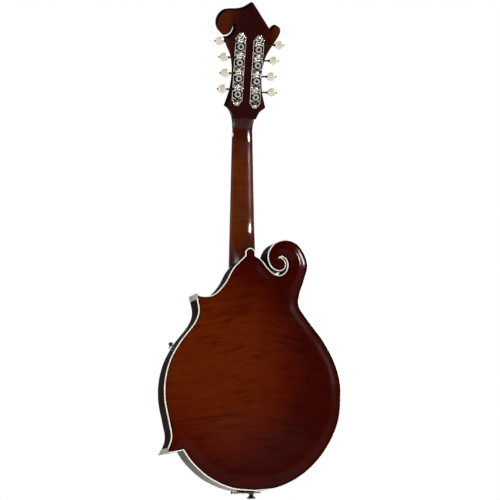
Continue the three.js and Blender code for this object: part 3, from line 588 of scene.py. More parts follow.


# --- Body outline, the CAD's points sampled more finely ---
TAIL = (0, 0.8)
NOTCH = (101, 58)
LOWER_TIP = (127, 53.5)
UPPER_TIP_LOW = (78.5, 270.5)
UPPER_TIP_HIGH = (79.5, 276.5)
BUTTON_TREBLE = (7.25, 331)
BUTTON_BASS = (-7.25, 331)
CHANNEL_END_OUTER = (-46, 330)
CHANNEL_END_INNER = (-45.2, 328.2)
SCROLL_START = (-30, 343.5)
LOWER_TREBLE = (TAIL, (33, 4.6), (66, 20), (90, 42), NOTCH)
LOWER_POINT = (NOTCH, (109, 56.2), LOWER_TIP)
TREBLE_SIDE = (LOWER_TIP, (121, 65), (117.8, 77), (121, 98), (126.3, 128), (125.6, 155), (118, 183),
               (103.5, 208.5), (81, 237.5), (76, 252), UPPER_TIP_LOW)
TREBLE_SHOULDER = (UPPER_TIP_HIGH, (71, 273.4), (54.6, 275.2), (37.8, 291.3), (25, 313), BUTTON_TREBLE)
HEEL_BUTTON = (BUTTON_TREBLE, (6.4, 338), (0, 342), (-6.4, 338), BUTTON_BASS)
HEEL_LINE = (BUTTON_TREBLE, BUTTON_BASS)
CHANNEL_OUTER = (BUTTON_BASS, (-15.4, 325.6), (-26, 312.4), (-35.5, 304.8), (-44, 304), (-51, 309.3),
                 (-53.6, 318.8), (-51.5, 326), CHANNEL_END_OUTER)
CHANNEL_INNER = (CHANNEL_END_INNER, (-49.6, 324.5), (-51.6, 318.8), (-48.6, 312), (-41.2, 309.3),
                 (-31, 313.9), (-25.4, 325), (-26, 335.3), SCROLL_START)
BASS_SIDE = (SCROLL_START, (-35.8, 349.5), (-52, 354.3), (-68, 349), (-79, 334.5), (-83.5, 318),
             (-78.2, 297), (-70.5, 275), (-69.5, 261), (-81, 242), (-103, 212.6), (-118.5, 184),
             (-127, 155), (-127.5, 127.5), (-123.8, 99), (-112, 70.4), (-92, 42.4), (-66, 20),
             (-33, 4.6), TAIL)
STEPS = 10


def body_spans(heel):
    return (LOWER_TREBLE, LOWER_POINT, TREBLE_SIDE, (UPPER_TIP_LOW, UPPER_TIP_HIGH), TREBLE_SHOULDER, heel,
            CHANNEL_OUTER, (CHANNEL_END_OUTER, CHANNEL_END_INNER), CHANNEL_INNER, BASS_SIDE)


OUTLINE = join_spans(body_spans(HEEL_LINE), STEPS)
OUTLINE_BACK = join_spans(body_spans(HEEL_BUTTON), STEPS)
PLATE_INNER_Y = HALF_DEPTH - PLATE_EDGE
BINDING = 1.3
BINDING_SIDE = 2.1
RIB = 2.3


def clean_inset(loop, distance):
    """The loop moved inwards, without the points that fold over at sharp ends."""
    moved = inset(loop, distance)
    return moved[distance_to(moved, loop) >= abs(distance) * 0.97]


# --- Carved plates ---
ARCH_CENTRE = np.array((0.0, 145.0))
ARCH_EDGE = ((0, 13), (52, 26), (92, 62), (108, 98), (113, 135), (108, 170), (88, 207), (64, 240), (50, 262),
             (24, 284), (0, 296), (-28, 286), (-54, 272), (-64, 246), (-86, 212), (-108, 174), (-114, 135),
             (-109, 98), (-92, 60), (-52, 26))
arch_loop = np.array(spline(ARCH_EDGE, 12, closed=True)) - ARCH_CENTRE
arch_angle = np.arctan2(*arch_loop.T)
arch_reach = np.hypot(*arch_loop.T)
arch_order = np.argsort(arch_angle)
SHOULDER_RISE = 3.2
SHOULDER_START = 2.5
SHOULDER_END = 19.0
SCROLL_EYE = np.array((-52.0, 326.0))
SCROLL_RISE = 4.2
SCROLL_REACH = (24.0, 58.0)
SCROLL_SIDE = 42.0
SCROLL_FADE = 16.0


def arch(points, edge_distance, rise):
    """Height of a carved plate above its edge."""
    offset = points - ARCH_CENTRE
    angle = np.arctan2(*offset.T)
    reach = np.interp(angle, arch_angle[arch_order], arch_reach[arch_order], period=2 * math.pi)
    fraction = np.minimum(np.hypot(*offset.T) / reach, 1)
    dome = rise * (1 - fraction ** 2) ** 1.3
    t = np.clip((edge_distance - SHOULDER_START) / (SHOULDER_END - SHOULDER_START), 0, 1)
    near = np.hypot(*(points - SCROLL_EYE).T)
    scroll = SCROLL_RISE * np.clip((SCROLL_REACH[1] - near) / (SCROLL_REACH[1] - SCROLL_REACH[0]), 0, 1)
    scroll *= np.clip((-points[:, 0] - SCROLL_SIDE) / SCROLL_FADE, 0, 1)
    shoulder = (SHOULDER_RISE + scroll) * t * t * (3 - 2 * t)
    return (dome ** 2 + shoulder ** 2) ** 0.5


TRIANGLE_HEIGHT = 0.866  # of an even triangle with sides of 1


def flat_mesh(rim, extra, pitch, margin):
    """Triangles that fill a loop, with extra points and an even grid inside it."""
    low, high = rim.min(0), rim.max(0)
    grid = []
    row = 0
    z = low[1]
    while z < high[1]:
        x = low[0] + (pitch / 2 if row % 2 else 0)
        while x < high[0]:
            grid.append((x, z))
            x += pitch
        z += pitch * TRIANGLE_HEIGHT
        row += 1
    grid = np.array(grid)
    grid = grid[inside(grid, rim)]
    grid = grid[distance_to(grid, rim) > margin]
    extra = [e[inside(e, rim)] for e in extra]
    points = np.concatenate([rim, *extra, grid])
    edges = [(i, (i + 1) % len(rim)) for i in range(len(rim))]
    return triangulated(points, edges, rim)


def local_points(piece, matrix):
    """A piece's vertices in the millimetres of a frame."""
    local = matrix.inverted()
    return np.array([tuple(local @ v.co) for v in piece.data.vertices])


def store_edge(piece, values):
    piece.data.attributes.new("edge", "FLOAT", "POINT").data.foreach_set("value", values)


def mark_edge(piece, matrix, loop):
    """Stores each vertex's distance to the loop, in millimetres, for the materials."""
    store_edge(piece, distance_to(local_points(piece, matrix)[:, (0, 2)], loop))


PLATE_RINGS = (2.1, 3.0, 4.2)
PLATE_PITCH = 3.4
PLATE_MARGIN = 3.2


def carved_plate(name, side, rise, outline):
    rim = clean_inset(outline, BINDING)
    extra = [clean_inset(outline, d) for d in PLATE_RINGS]
    vertices, faces = flat_mesh(rim, extra, PLATE_PITCH, PLATE_MARGIN)
    height = HALF_DEPTH + arch(vertices, distance_to(vertices, outline), rise)
    return thicken(name, vertices, faces, side * (height - PLATE_EDGE), side * height)


back = carved_plate("back_plate_carved", 1, ARCH_BACK, OUTLINE_BACK)
mark_edge(back, INSTRUMENT, OUTLINE_BACK)
sharpen(back, 50)
settle(back, ROOT, "maple", back_maple, "back_plate")


def binding(name, side, outline):
    top = side * HALF_DEPTH
    low = side * (HALF_DEPTH - BINDING_SIDE)
    section = ((0, low), (0, top - side * 0.5), (0.12, top - side * 0.12), (0.5, top + side * 0.05),
               (BINDING, top + side * 0.05), (BINDING, low))
    return sharpen(sweep(name, outline, section), 50)


settle(binding("binding_back_ring", 1, OUTLINE_BACK), ROOT, "ivoroid", ivoroid, "binding_back")
settle(binding("binding_soundboard_ring", -1, OUTLINE), ROOT, "ivoroid", ivoroid, "binding_soundboard")

WALL_Y = PLATE_INNER_Y - 0.05
WALL_TOP = HALF_DEPTH - BINDING_SIDE - 0.05
LEDGE = BINDING - 0.1
wall = sweep("ribs_bent", OUTLINE, ((0.12, -WALL_TOP), (0.12, WALL_TOP), (LEDGE, WALL_TOP), (LEDGE, WALL_Y),
                                    (RIB, WALL_Y), (RIB, -WALL_Y), (LEDGE, -WALL_Y), (LEDGE, -WALL_TOP)))
settle(sharpen(wall, 50), ROOT, "dark_maple", rib_maple, "rib_lower_bout", "rib_waist", "rib_treble_shoulder",
       "rib_scroll", "rib_bass")

BLOCK_LOW_Z = 268
BLOCK_X = (-66, 34)
block_loop = clean_inset(OUTLINE, RIB + 0.2)
block_loop = block_loop[(block_loop[:, 1] > BLOCK_LOW_Z) & (block_loop[:, 0] < BLOCK_X[1])]
block_loop = np.roll(block_loop, -int(np.argmax(block_loop[:, 0])), axis=0)
block_loop = np.concatenate([block_loop, [(x, BLOCK_LOW_Z) for x in BLOCK_X]])
settle(slab("neck_block_wood", block_loop, -WALL_Y, WALL_Y), ROOT, "dark_maple", rib_maple, "neck_block")


def cap(name, middle, direction, reach, half, node):
    """The part of the body's edge that an ivory-coloured protector covers."""
    loop = inset(OUTLINE, -0.25)
    offset = loop - np.array(middle)
    along = offset @ np.array(direction)
    across = offset @ np.array((-direction[1], direction[0]))
    zone = (along > -reach) & (np.abs(across) < half)
    first = int(np.flatnonzero(zone & ~np.roll(zone, 1))[0])
    loop = np.roll(loop, -first, axis=0)[:int(zone.sum())]
    piece = slab(name, loop, -HALF_DEPTH - 0.15, HALF_DEPTH + 0.15)
    settle(bevelled(piece, 0.5), ROOT, "ivoroid", cap_ivoroid, node)


cap("point_cap_upper", (79, 273.5), (0.986, -0.164), 4, 6, "point_protector_upper")
cap("point_cap_lower", LOWER_TIP, (0.94, -0.34), 7, 20, "point_protector_lower")

# The white line runs on past the end of the open channel, to a fine tip in the scroll's eye.
eye_line = spline(((-45.9, 329.1), (-43.2, 329.2), (-40.9, 328.2), (-39.4, 326.6), (-38.6, 325.8)), 6)
EYE_HALF = 1.35
EYE_NARROWING = 0.9
left, right = [], []
for i, point in enumerate(eye_line[:-1]):
    ahead = eye_line[i + 1] - point
    ahead /= np.linalg.norm(ahead)
    across = (EYE_HALF - EYE_NARROWING * i / len(eye_line)) * np.array((-ahead[1], ahead[0]))
    left.append(point + across)
    right.append(point - across)
eye = slab("scroll_eye_inlay", left + [eye_line[-1]] + right[::-1], HALF_DEPTH - 1, HALF_DEPTH + 0.18)
settle(eye, ROOT, "ivoroid", ivoroid)

# --- Soundboard ---
HOLE_SPINE = ((36.2, 214.2), (38.6, 218.6), (42.6, 217.4), (45.2, 209), (45.4, 190), (47, 168), (52.4, 148),
              (56.6, 132), (57.2, 124), (60, 119.8), (62.6, 122.4))
HOLE_WIDTHS = (1.0, 1.1, 1.6, 2.3, 2.6, 2.7, 2.6, 2.3, 1.6, 1.1, 1.0)
HOLE_EYES = ((37.6, 215.4, 3.4), (60.9, 122.6, 3.7))
NICK_Z = 169.0


def sound_hole(side):
    steps = 6
    spine = curve(HOLE_SPINE, steps)
    left, right = [], []
    for i, point in enumerate(spine):
        ahead = spine[min(i + 1, len(spine) - 1)] - spine[max(i - 1, 0)]
        ahead /= np.linalg.norm(ahead)
        width = float(np.interp(i / steps, range(len(HOLE_WIDTHS)), HOLE_WIDTHS))
        across = width * np.array((-ahead[1], ahead[0]))
        left.append(point + across)
        right.append(point - across)
    slot = np.array(left + right[::-1]) * (side, 1)
    tools = [slab("slot", slot, -60, -10)]
    for x, z, radius in HOLE_EYES:
        tools.append(turned("eye", ((0, radius), (50, radius)), (0, 1, 0), (side * x, -60, z), sides=28))
    nick = np.array(((43.2, NICK_Z), (47, NICK_Z + 1.2), (50.8, NICK_Z), (47, NICK_Z - 1.2))) * (side, 1)
    tools.append(slab("nick", nick, -60, -10))
    return tools


def sunburst_spruce():
    surface = Surface("sunburst_spruce", Roughness=0.14, Specular_IOR_Level=0.2)
    lines = surface.noise(surface.stretched(850, 1, 5), 1.0, 2.0, 0.5)
    tint = surface.ramp(surface.away((0, 0, -0.352), (0.125, math.inf, 0.185)),
                        [(0.0, colour(206, 124, 44)), (0.35, colour(186, 92, 26)),
                         (0.72, colour(104, 32, 8)), (0.96, colour(34, 9, 5))])
    grain = surface.mix(1.0, tint, (0.55, 0.42, 0.32, 1), "MULTIPLY")
    tint = surface.mix(surface.between(lines, 0.38, 0.62), tint, grain)
    clear = surface.between(surface.attribute("edge"), 2.0, 3.4)
    surface.use("Base Color", surface.mix(clear, (0.002, 0.001, 0.001, 1), tint))
    surface.bump(lines, 0.00004, 0.4)
    return surface.material


top = carved_plate("soundboard_carved", -1, ARCH_FRONT, OUTLINE)
for side in (-1, 1):
    for tool in sound_hole(side):
        cut(top, tool)
mark_edge(top, INSTRUMENT, OUTLINE)
sharpen(top, 50)
settle(top, ROOT, "spruce", sunburst_spruce(), "soundboard")


# --- Neck ---
def board_y(z):
    """Depth of the fretboard's surface at a height."""
    return NUT_Y - (NUT_Z - z) * math.tan(NECK_ANGLE)


# Height, half width, back's depth, and how square the section is.
NECK_STATIONS = ((299, 18.5, 18.2, 1.5), (324, 18.3, 18.2, 1.5), (334, 18.1, 17.8, 1.5),
                 (341, 18.0, 15.6, 1.5), (347, 17.9, 8.6, 1.6), (354, 17.8, -0.8, 1.8),
                 (364, 17.6, -7.5, 2), (376, 17.3, -10.3, 2),
                 (403, 16.7, -8.1, 2), (430, 16.0, -5.6, 2), (457, 15.4, -2.8, 2), (484, 14.7, 0, 2),
                 (500, 14.3, 2.2, 2.05))
# Height above the nut in the headstock's frame, half width, back's depth, squareness.
CHEEK_STATIONS = ((9, 14.2, -1.2, 2.1), (15, 14.5, -0.7, 2.3), (21, 15.9, -0.45, 2.7), (27, 18.2, -0.35, 3.3),
                  (32, 20.6, -0.3, 4.2), (37, 24.4, -0.3, 6.0))
RING_STEPS = 36


def section_ring(place, half_width, front, back, squareness):
    """The neck's section, from one side round the back to the other."""
    ring = []
    power = 2 / squareness
    for i in range(RING_STEPS + 1):
        angle = math.pi * i / RING_STEPS
        x, y = math.cos(angle), math.sin(angle)
        x = half_width * math.copysign(abs(x) ** power, x)
        ring.append(place(x, front + (back - front) * y ** power))
    return ring


def neck_rings():
    rings = []
    for z, half_width, deep, squareness in curve(NECK_STATIONS, 4):
        front = board_y(z) + FRETBOARD_THICK + GAP
        rings.append(section_ring(lambda x, y, z=z: Vector((x, y, z)), half_width, front, deep, squareness))
    for z, half_width, deep, squareness in curve(CHEEK_STATIONS, 4):
        rings.append(section_ring(lambda x, y, z=z: TO_BODY @ HEAD @ Vector((x, y, z)), half_width,
                                  0.3 - HEAD_THICK, deep, squareness))
    return rings


neck = sharpen(loft("neck_shaft", neck_rings()), 55)
settle(neck, ROOT, "maple", neck_maple, "neck")
RISER_MIDDLE_Y = -30
riser_loop = ((-17.5, 252), (17.5, 252), (18.2, 331), (-18.2, 331))
riser = slab("neck_riser", riser_loop, board_y(290) + FRETBOARD_THICK + 1.5, -HALF_DEPTH + 4)
bm = bmesh.new()
bm.from_mesh(riser.data)
for vertex in bm.verts:
    local = TO_BODY @ vertex.co
    if local.y < RISER_MIDDLE_Y:
        vertex.co = INSTRUMENT @ Vector((local.x, board_y(local.z) + FRETBOARD_THICK + GAP, local.z))
bm.to_mesh(riser.data)
bm.free()
settle(bevelled(riser, 0.8), ROOT, "maple", neck_maple)

# --- Headstock ---
HEAD_SIDE = ((14.3, 0), (14.6, 14), (18, 28), (21.4, 34), (29, 40))
HEAD_WAIST = ((29, 40), (23, 61), (21.3, 74), (20.6, 88), (21.6, 100), (25, 114), (30, 124))
TREBLE_SCROLL = ((30, 124), (34, 133), (36.6, 139.4))
SCROLL_SLOT = ((36.6, 139.4), (31, 139.8), (24.8, 145.4), (22.6, 154), (24, 162))
SLOT_BACK = ((24, 162), (26.4, 154), (29.2, 147.4), (33.4, 143.8), (38.8, 142.4))
TREBLE_CURL = ((38.8, 142.4), (46.3, 150.4), (48.9, 159.5), (46, 170), (39, 177), (31, 179), (20, 179.6),
               (10.2, 182), (-1.5, 189.3))
BASS_RAMP = ((-1.5, 189.3), (-29.5, 150.5))
BASS_CURL = ((-29.5, 150.5), (-32, 154.6), (-37.2, 158), (-42, 155.4), (-43.3, 150), (-41, 143), (-35, 132.5),
             (-30, 124))


def mirrored(points):
    return tuple((-x, z) for x, z in reversed(points))


HEAD_OUTLINE = join_spans((HEAD_SIDE, HEAD_WAIST, TREBLE_SCROLL, SCROLL_SLOT, SLOT_BACK, TREBLE_CURL,
                           BASS_RAMP, BASS_CURL, mirrored(HEAD_WAIST), mirrored(HEAD_SIDE),
                           ((-14.3, 0), (14.3, 0))), 8)
CHEEK_Z = 23.0


def post_place(label, k):
    """X and Z of a string post in the headstock's frame."""
    return POST_X[label], POST_FIRST[label] + k * POST_PITCH


POSTS = [(label, side, k, *post_place(label, k)) for label, side in SIDES for k in range(4)]
head_loop = HEAD_OUTLINE[HEAD_OUTLINE[:, 1] > CHEEK_Z]


SLAB_PITCH = 3.5
SLAB_MARGIN = 3.0


def rounded_slab(name, loop, low, high, radius, matrix, rounding):
    """A flat slab whose long edges are rounded by inset rings; rounding says which of its faces."""
    rings = [clean_inset(loop, d) for d in (radius * 0.45, radius, radius * 2.2)]
    vertices, faces = flat_mesh(loop, rings, SLAB_PITCH, SLAB_MARGIN)
    near = np.minimum(distance_to(vertices, loop) / radius, 1)
    drop = radius * (1 - np.sqrt(np.maximum(1 - (1 - near) ** 2, 0)))
    return thicken(name, vertices, faces, low + drop * rounding[0], high - drop * rounding[1], matrix)


def bored(piece, radius, low, loop):
    """The piece with clearance holes for the string posts, and its edge distances stored."""
    for *_, x, z in POSTS:
        cut(piece, turned("bore", ((0, radius), (40, radius)), (0, 1, 0), (x, low, z), HEAD, 24))
    mark_edge(piece, HEAD, loop)
    return sharpen(piece, 50)


head_slab = rounded_slab("headstock_slab", head_loop, -HEAD_THICK, 0, 0.9, HEAD, (0, 1))
head_maple = burst_maple("head_maple", (0.0, 0.03, 0.09), (0.035, 0.5, 0.3), colour(44, 3, 2),
                         colour(60, 12, 2), colour(82, 26, 1), 0.35, 0.05, 8.0, 0.05, (0.5, 0.9))
settle(bored(head_slab, 3.5, -20, head_loop), ROOT, "maple", head_maple, "neck")

overlay_loop = clean_inset(head_loop, 0.25)
front_y = -HEAD_THICK - GAP
overlay = rounded_slab("headstock_veneer", overlay_loop, front_y - OVERLAY_THICK, front_y, 0.5, HEAD, (1, 0))
veneer = edge_lined(Surface("veneer_gloss", Roughness=0.12, Specular_IOR_Level=0.3), (0.25, 0.45),
                    (1.75, 1.55), (40.0, 3.0), colour(8, 7, 7), colour(14, 12, 12), colour(226, 212, 178))
settle(bored(overlay, 3.4, -30, overlay_loop), ROOT, "black_gloss", veneer.material, "headstock_overlay")
foot_loop = ((-14.2, 7.2), (14.2, 7.2), (14.6, 14), (16, 21), (17, CHEEK_Z), (-17, CHEEK_Z), (-16, 21),
             (-14.6, 14))
foot = slab("headstock_veneer_foot", foot_loop, front_y - OVERLAY_THICK, front_y, HEAD)
settle(foot, ROOT, "black_gloss", gloss_black)
chin = slab("headstock_chin", ((-14.2, 2), (14.2, 2), (14.6, 14), (16.6, 24), (-16.6, 24), (-14.6, 14)),
            -HEAD_THICK + 0.2, -HEAD_THICK + 4, HEAD)
settle(chin, ROOT, "maple", neck_maple)

BELL = ((-9, 16), (-8.8, 22), (-7.6, 30), (-4.6, 38), (-3, 45), (0, 52.4), (3, 45), (4.6, 38), (7.6, 30),
        (8.8, 22), (9, 16))
bell_loop = np.array(curve(BELL, 5))
bell_y = front_y - OVERLAY_THICK - GAP
bell = rounded_slab("truss_rod_cover_bell", bell_loop, bell_y - 0.9, bell_y, 0.35, HEAD, (1, 0))
mark_edge(bell, HEAD, bell_loop)
bell_surface = edge_lined(Surface("bell_laminate", Roughness=0.16, Coat_Weight=0.3), (0.3, 0.45), (1.1, 0.95),
                          (90.0, 3.0), colour(12, 11, 11), colour(20, 18, 18), colour(230, 224, 208))
settle(sharpen(bell, 50), ROOT, "black_gloss", bell_surface.material, "truss_rod_cover")
BELL_SCREW = ((0, 1.35), (0.35, 1.3), (0.6, 0.8), (0.66, 0.1))
screws = [turned("screw", BELL_SCREW, (0, -1, 0), (x, bell_y - 0.85, z), HEAD, 20)
          for x, z in ((0, 47.2), (-5.6, 18.6), (5.6, 18.6))]
settle(join("truss_rod_cover_screws", screws), ROOT, "nickel", nickel)


# --- Tuners ---
PLATE_LOW = GAP
PLATE_HIGH = GAP + 1.6
GEAR_LOW = PLATE_HIGH + GAP
GEAR_HIGH = GEAR_LOW + 3
GEAR_R = 4.6
GEAR_TEETH = 16
TOOTH = 0.8
WORM_HALF = 3.7
WORM_CORE = 1.45
WORM_CREST = 0.62
WORM_LEAD = 1.67
BUTTON_R = 6.3
BUTTON_HALF = 2.7
POST_TOP_Y = -27.0
ENGRAVING_DEPTH = 0.22
ENGRAVING_PITCH = 0.42
ENGRAVING_MARGIN = 0.3
# Scrolls are placed from a post, or for the ends from the first post: X, Z, radius, way of turning.
CELL_SCROLLS = ((-4.3, -8.6, 2.9, 1), (4.3, -8.6, 2.9, -1), (-5.3, -2.6, 2.1, -1), (5.3, -2.6, 2.1, 1),
                (-5.2, 2.2, 2.1, 1), (5.2, 2.2, 2.1, -1), (0, -7.0, 1.9, 1))
END_SCROLLS = ((0, 81.6, 3.3, 1), (-5.0, 79.0, 2.2, -1), (5.0, 79.0, 2.2, 1), (0, -10.8, 2.6, -1),
               (-4.6, -9.4, 2.0, 1), (4.6, -9.4, 2.0, -1))


SCROLL_PITCH = 1.15
SCROLL_WIDTH = 0.43
# The ring round each post is painted shade for the dark gap round the gear. It is cut in like the engraving.
GEAR_SHADE_RING = 5.75
GEAR_SHADE_RING_HALF = 1.15
BARS = (-11.2, -8.0)
BAR_HALF = 0.45
BORDER = 1.05
BORDER_HALF = 0.5
PLAIN_EDGE = 0.8


def band(values, middle, half, soft):
    """1 within half of a middle value, falling to 0 over the soft edge inside it."""
    return np.clip((half - np.abs(values - middle)) / soft, 0, 1)


def engraving_and_gear_shade(points, rim):
    """0 on the polished surface to 1 at the bottom of the engraved scrolls and borders, and in the ring of
    painted shade round each post.
    """
    x, z = points.T
    scrolls = [(sx, k * POST_PITCH + sz, r, turn) for k in range(4) for sx, sz, r, turn in CELL_SCROLLS]
    marks = []
    for sx, sz, radius, turn in (*scrolls, *END_SCROLLS):
        away = np.hypot(x - sx, z - sz)
        angle = np.arctan2(z - sz, (x - sx) * turn)
        phase = (away / SCROLL_PITCH - angle / (2 * math.pi)) % 1
        marks.append(band(phase, 0.5, SCROLL_WIDTH, 0.1) * np.clip((radius - away) / 0.3, 0, 1))
    for k in range(4):
        up = z - k * POST_PITCH
        # A darkened ring round each post: painted shade for the gap round the gear.
        marks.append(band(np.hypot(x, up), GEAR_SHADE_RING, GEAR_SHADE_RING_HALF, 0.2))
        marks += [band(up, bar, BAR_HALF, 0.2) for bar in BARS]
    edge = distance_to(points, rim)
    border = band(edge, BORDER, BORDER_HALF, 0.12)
    return np.maximum(np.max(marks, axis=0) * (edge > PLAIN_EDGE), border)


plate_end = ((7.6, 79), (7.2, 81.6), (5.6, 82.3), (5.3, 84.2), (3.5, 85.2), (2.7, 87.4), (0, 88.2))
plate_foot = ((0, -16.6), (2.9, -15.6), (3.6, -13.6), (5.3, -12.6), (5.7, -10.4), (7.3, -9.6), (7.6, -7))
straight = [(7.6, -7 + i * 1.6) for i in range(54)]
PLATE_LOOP = np.array([*spline(plate_foot, 5), *straight, *spline(plate_end, 5), (0, 88.2),
                       *spline(mirrored(plate_end), 5)[1:], *[(-7.6, 79 - i * 1.6) for i in range(54)],
                       *spline(mirrored(plate_foot), 5)])

engraved = Surface("engraved_nickel", Metallic=1.0, Roughness=0.2)
recess = engraved.attribute("edge")
polish = engraved.clouded(engraved.noise(engraved.place, 700.0, 3.0), colour(244, 240, 232),
                          colour(186, 180, 168))
# Dark in the engraved lines, and in the ring of painted shade round each post.
darkened_cuts_and_gear_shade = engraved.between(recess, 0.2, 0.6)
engraved.use("Base Color", engraved.mix(darkened_cuts_and_gear_shade, polish, (0.004, 0.0035, 0.003, 1)))
engraved.use("Roughness", engraved.mix(recess, (0.16, 0.16, 0.16, 1), (0.6, 0.6, 0.6, 1)))

pearl = pearly("pearl_celluloid", 160.0, 1.5, [(0.28, colour(214, 200, 176)), (0.42, colour(226, 220, 198)),
                                               (0.56, colour(208, 210, 180)), (0.72, colour(230, 214, 196))],
               Roughness=0.22, IOR=1.5, Coat_Weight=0.3, Coat_Roughness=0.08)
PLATE_SCREW = ((0, 1.5), (0.3, 1.5), (0.65, 0.9), (0.7, 0.1))
END_SCREW = ((0, 1.3), (0.3, 1.3), (0.6, 0.8), (0.65, 0.1))
PLATE_ROUND = 0.35


def tuner_plate(label):
    rim = PLATE_LOOP
    vertices, faces = flat_mesh(rim, [clean_inset(rim, PLATE_ROUND)], ENGRAVING_PITCH, ENGRAVING_MARGIN)
    near = np.clip(distance_to(vertices, rim) / PLATE_ROUND, 0, 1)
    high = PLATE_HIGH - 0.25 * (1 - near) - ENGRAVING_DEPTH * engraving_and_gear_shade(vertices, rim)
    foot = np.array(post_place(label, 0))
    plate = thicken("plate", vertices + foot, faces, [PLATE_LOW] * len(vertices), high, HEAD)
    points = local_points(plate, HEAD)
    store_edge(plate, engraving_and_gear_shade(points[:, (0, 2)] - foot, rim) * (points[:, 1] > 1))
    plate.name = f"tuner_plate_{label}_engraved"
    settle(sharpen(plate, 50), ROOT, "nickel", engraved.material, f"tuner_plate_{label}")
    x, low_z = foot
    brackets = []
    for k in range(4):
        z = low_z + k * POST_PITCH + WORM_OFFSET
        for ear in (x - 5, x + 5):
            loop = rectangle(ear - 0.85, z - 2.6, ear + 0.85, z + 2.6)
            brackets.append(bevelled(slab("ear", loop, PLATE_HIGH - 0.5, SHAFT_Y + 2.4, HEAD), 0.5))
    screws = [(PLATE_SCREW, low_z + k * POST_PITCH + 11.35) for k in range(3)]
    screws += [(END_SCREW, low_z - 12.8), (END_SCREW, low_z + 84.0)]
    brackets += [turned("screw", profile, (0, 1, 0), (x, PLATE_HIGH, z), HEAD, 20) for profile, z in screws]
    settle(join(f"tuner_brackets_{label}", brackets), ROOT, "nickel", nickel)


def worm(centre_x, z):
    """A single helical thread on a short core."""
    rings = []
    for along in np.linspace(-WORM_HALF, WORM_HALF, 61):
        fade = min(1, (WORM_HALF - abs(along)) / 0.5)
        ring = []
        for angle in np.linspace(0, 2 * math.pi, 25)[:-1]:
            crest = 0.5 + 0.5 * math.cos(2 * math.pi * along / WORM_LEAD - angle)
            radius = WORM_CORE + WORM_CREST * max(fade, 0) * crest ** 0.7
            ring.append((centre_x + along, SHAFT_Y + radius * math.cos(angle), z + radius * math.sin(angle)))
        rings.append(ring)
    return sharpen(loft("worm", rings, HEAD), 60)


def tuner_knob(label, side, k):
    body = f"tuner_knob_{label}_{k + 1}"
    x, z = post_place(label, k)
    z += WORM_OFFSET
    out = (side, 0, 0)
    button_x = BUTTON_X[label][k]
    reach = abs(button_x) - abs(x)
    start = reach - BUTTON_R
    profile = ((-6.9, 0.9), (-6.6, 1.2), (6.6, 1.2), (6.9, 1.75), (7.6, 1.75), (8.0, 1.15),
               (start - 1.6, 1.15), (start - 1.5, 1.85), (start - 0.2, 1.95), (start + 0.6, 1.2))
    shaft = turned("shaft", profile, out, (x, SHAFT_Y, z), HEAD, 24)
    tip = turned("tip", ((-1.0, 0.9), (0.1, 1.2), (0.9, 1.15), (1.45, 0.7), (1.6, 0.1)), out,
                 (x + side * (reach + BUTTON_R), SHAFT_Y, z), HEAD, 20)
    metal = join(f"tuner_shaft_{label}_{k + 1}", [shaft, tip])
    settle(metal, body, "nickel", dark_metal)
    settle(join(f"tuner_worm_{label}_{k + 1}", [worm(x, z)]), body, "nickel", nickel)
    profile = []
    for i in range(17):
        angle = math.pi * (i / 16 - 0.5)
        rim = abs(math.cos(angle)) ** 0.62
        profile.append((BUTTON_HALF * math.copysign(abs(math.sin(angle)) ** 0.8, math.sin(angle)),
                        max(BUTTON_R * rim, 0.05)))
    button = turned(f"tuner_button_{label}_{k + 1}", profile, (0, 1, 0), (button_x, SHAFT_Y, z), HEAD, 48)
    settle(button, body, "pearl", pearl, body)


def gear(x, z):
    def radius(angle):
        wave = 0.5 + 0.5 * math.tanh(2.2 * math.sin(angle * GEAR_TEETH)) / math.tanh(2.2)
        return GEAR_R - TOOTH + TOOTH * wave

    loop = round_loop(x, z, GEAR_TEETH * 8, radius)
    return sharpen(slab("gear", loop, GEAR_LOW, GEAR_HIGH - 0.3, HEAD), 50)


def string_post(label, k):
    body = f"string_post_{label}_{k + 1}"
    x, z = post_place(label, k)
    ring = turned("ring", ((-0.2, 3.6), (0.25, 3.4), (0.3, 2.5), (-0.5, 2.4)), (0, 1, 0),
                  (x, GEAR_HIGH - 0.3, z), HEAD, 36)
    profile = ((0, 2.3), (0.4, 2.8), (1.6, 2.95), (2.3, 2.45), (3.0, 2.3), (4.6, 2.3), (5.4, 2.9), (12, 3.0),
               (28, 3.0), (30.2, 2.4))
    shaft = turned("post", profile, (0, 1, 0), (x, POST_TOP_Y, z), HEAD, 32)
    metal = join(f"string_post_{label}_{k + 1}_turned", [gear(x, z), ring, shaft])
    settle(metal, body, "nickel", nickel, body)
    head = turned("screw", ((-0.4, 2.6), (0.15, 2.55), (0.45, 1.9), (0.5, 0.1)), (0, 1, 0),
                  (x, GEAR_HIGH - 0.4, z), HEAD, 28)
    turn = 0.6 + 0.9 * k + 0.1 * x
    along = 3 * np.array((math.cos(turn), math.sin(turn)))
    across = 0.28 * np.array((-math.sin(turn), math.cos(turn)))
    slot = [np.array((x, z)) + a * along + b * across for a, b in ((1, 1), (-1, 1), (-1, -1), (1, -1))]
    cut(head, slab("slot", slot, GEAR_HIGH - 0.25, GEAR_HIGH + 2, HEAD))
    head.name = f"gear_screw_{label}_{k + 1}"
    settle(sharpen(head), body, "nickel", dark_metal)
    profile = ((0, 4.2), (0.3, 4.4), (0.9, 3.7), (1.1, 3.25), (0.2, 3.2))
    ferrule = turned(f"post_ferrule_{label}_{k + 1}", profile, (0, -1, 0),
                     (x, front_y - OVERLAY_THICK + 0.1, z), HEAD, 32)
    settle(ferrule, ROOT, "nickel", nickel)


for label, side in SIDES:
    tuner_plate(label)
    for k in range(4):
        tuner_knob(label, side, k)
        string_post(label, k)


# --- Fretboard, frets and nut ---
FRET_COUNT = 24
BOARD_END = 292.0
BOARD_HALF_NUT = 14.3
BOARD_SPREAD = 0.0218
DOT_FRETS = (3, 5, 7, 10, 12, 15)


def board_half(distance):
    return BOARD_HALF_NUT + distance * BOARD_SPREAD


def fret_place(number):
    return SCALE * (1 - 2 ** (-number / 12))


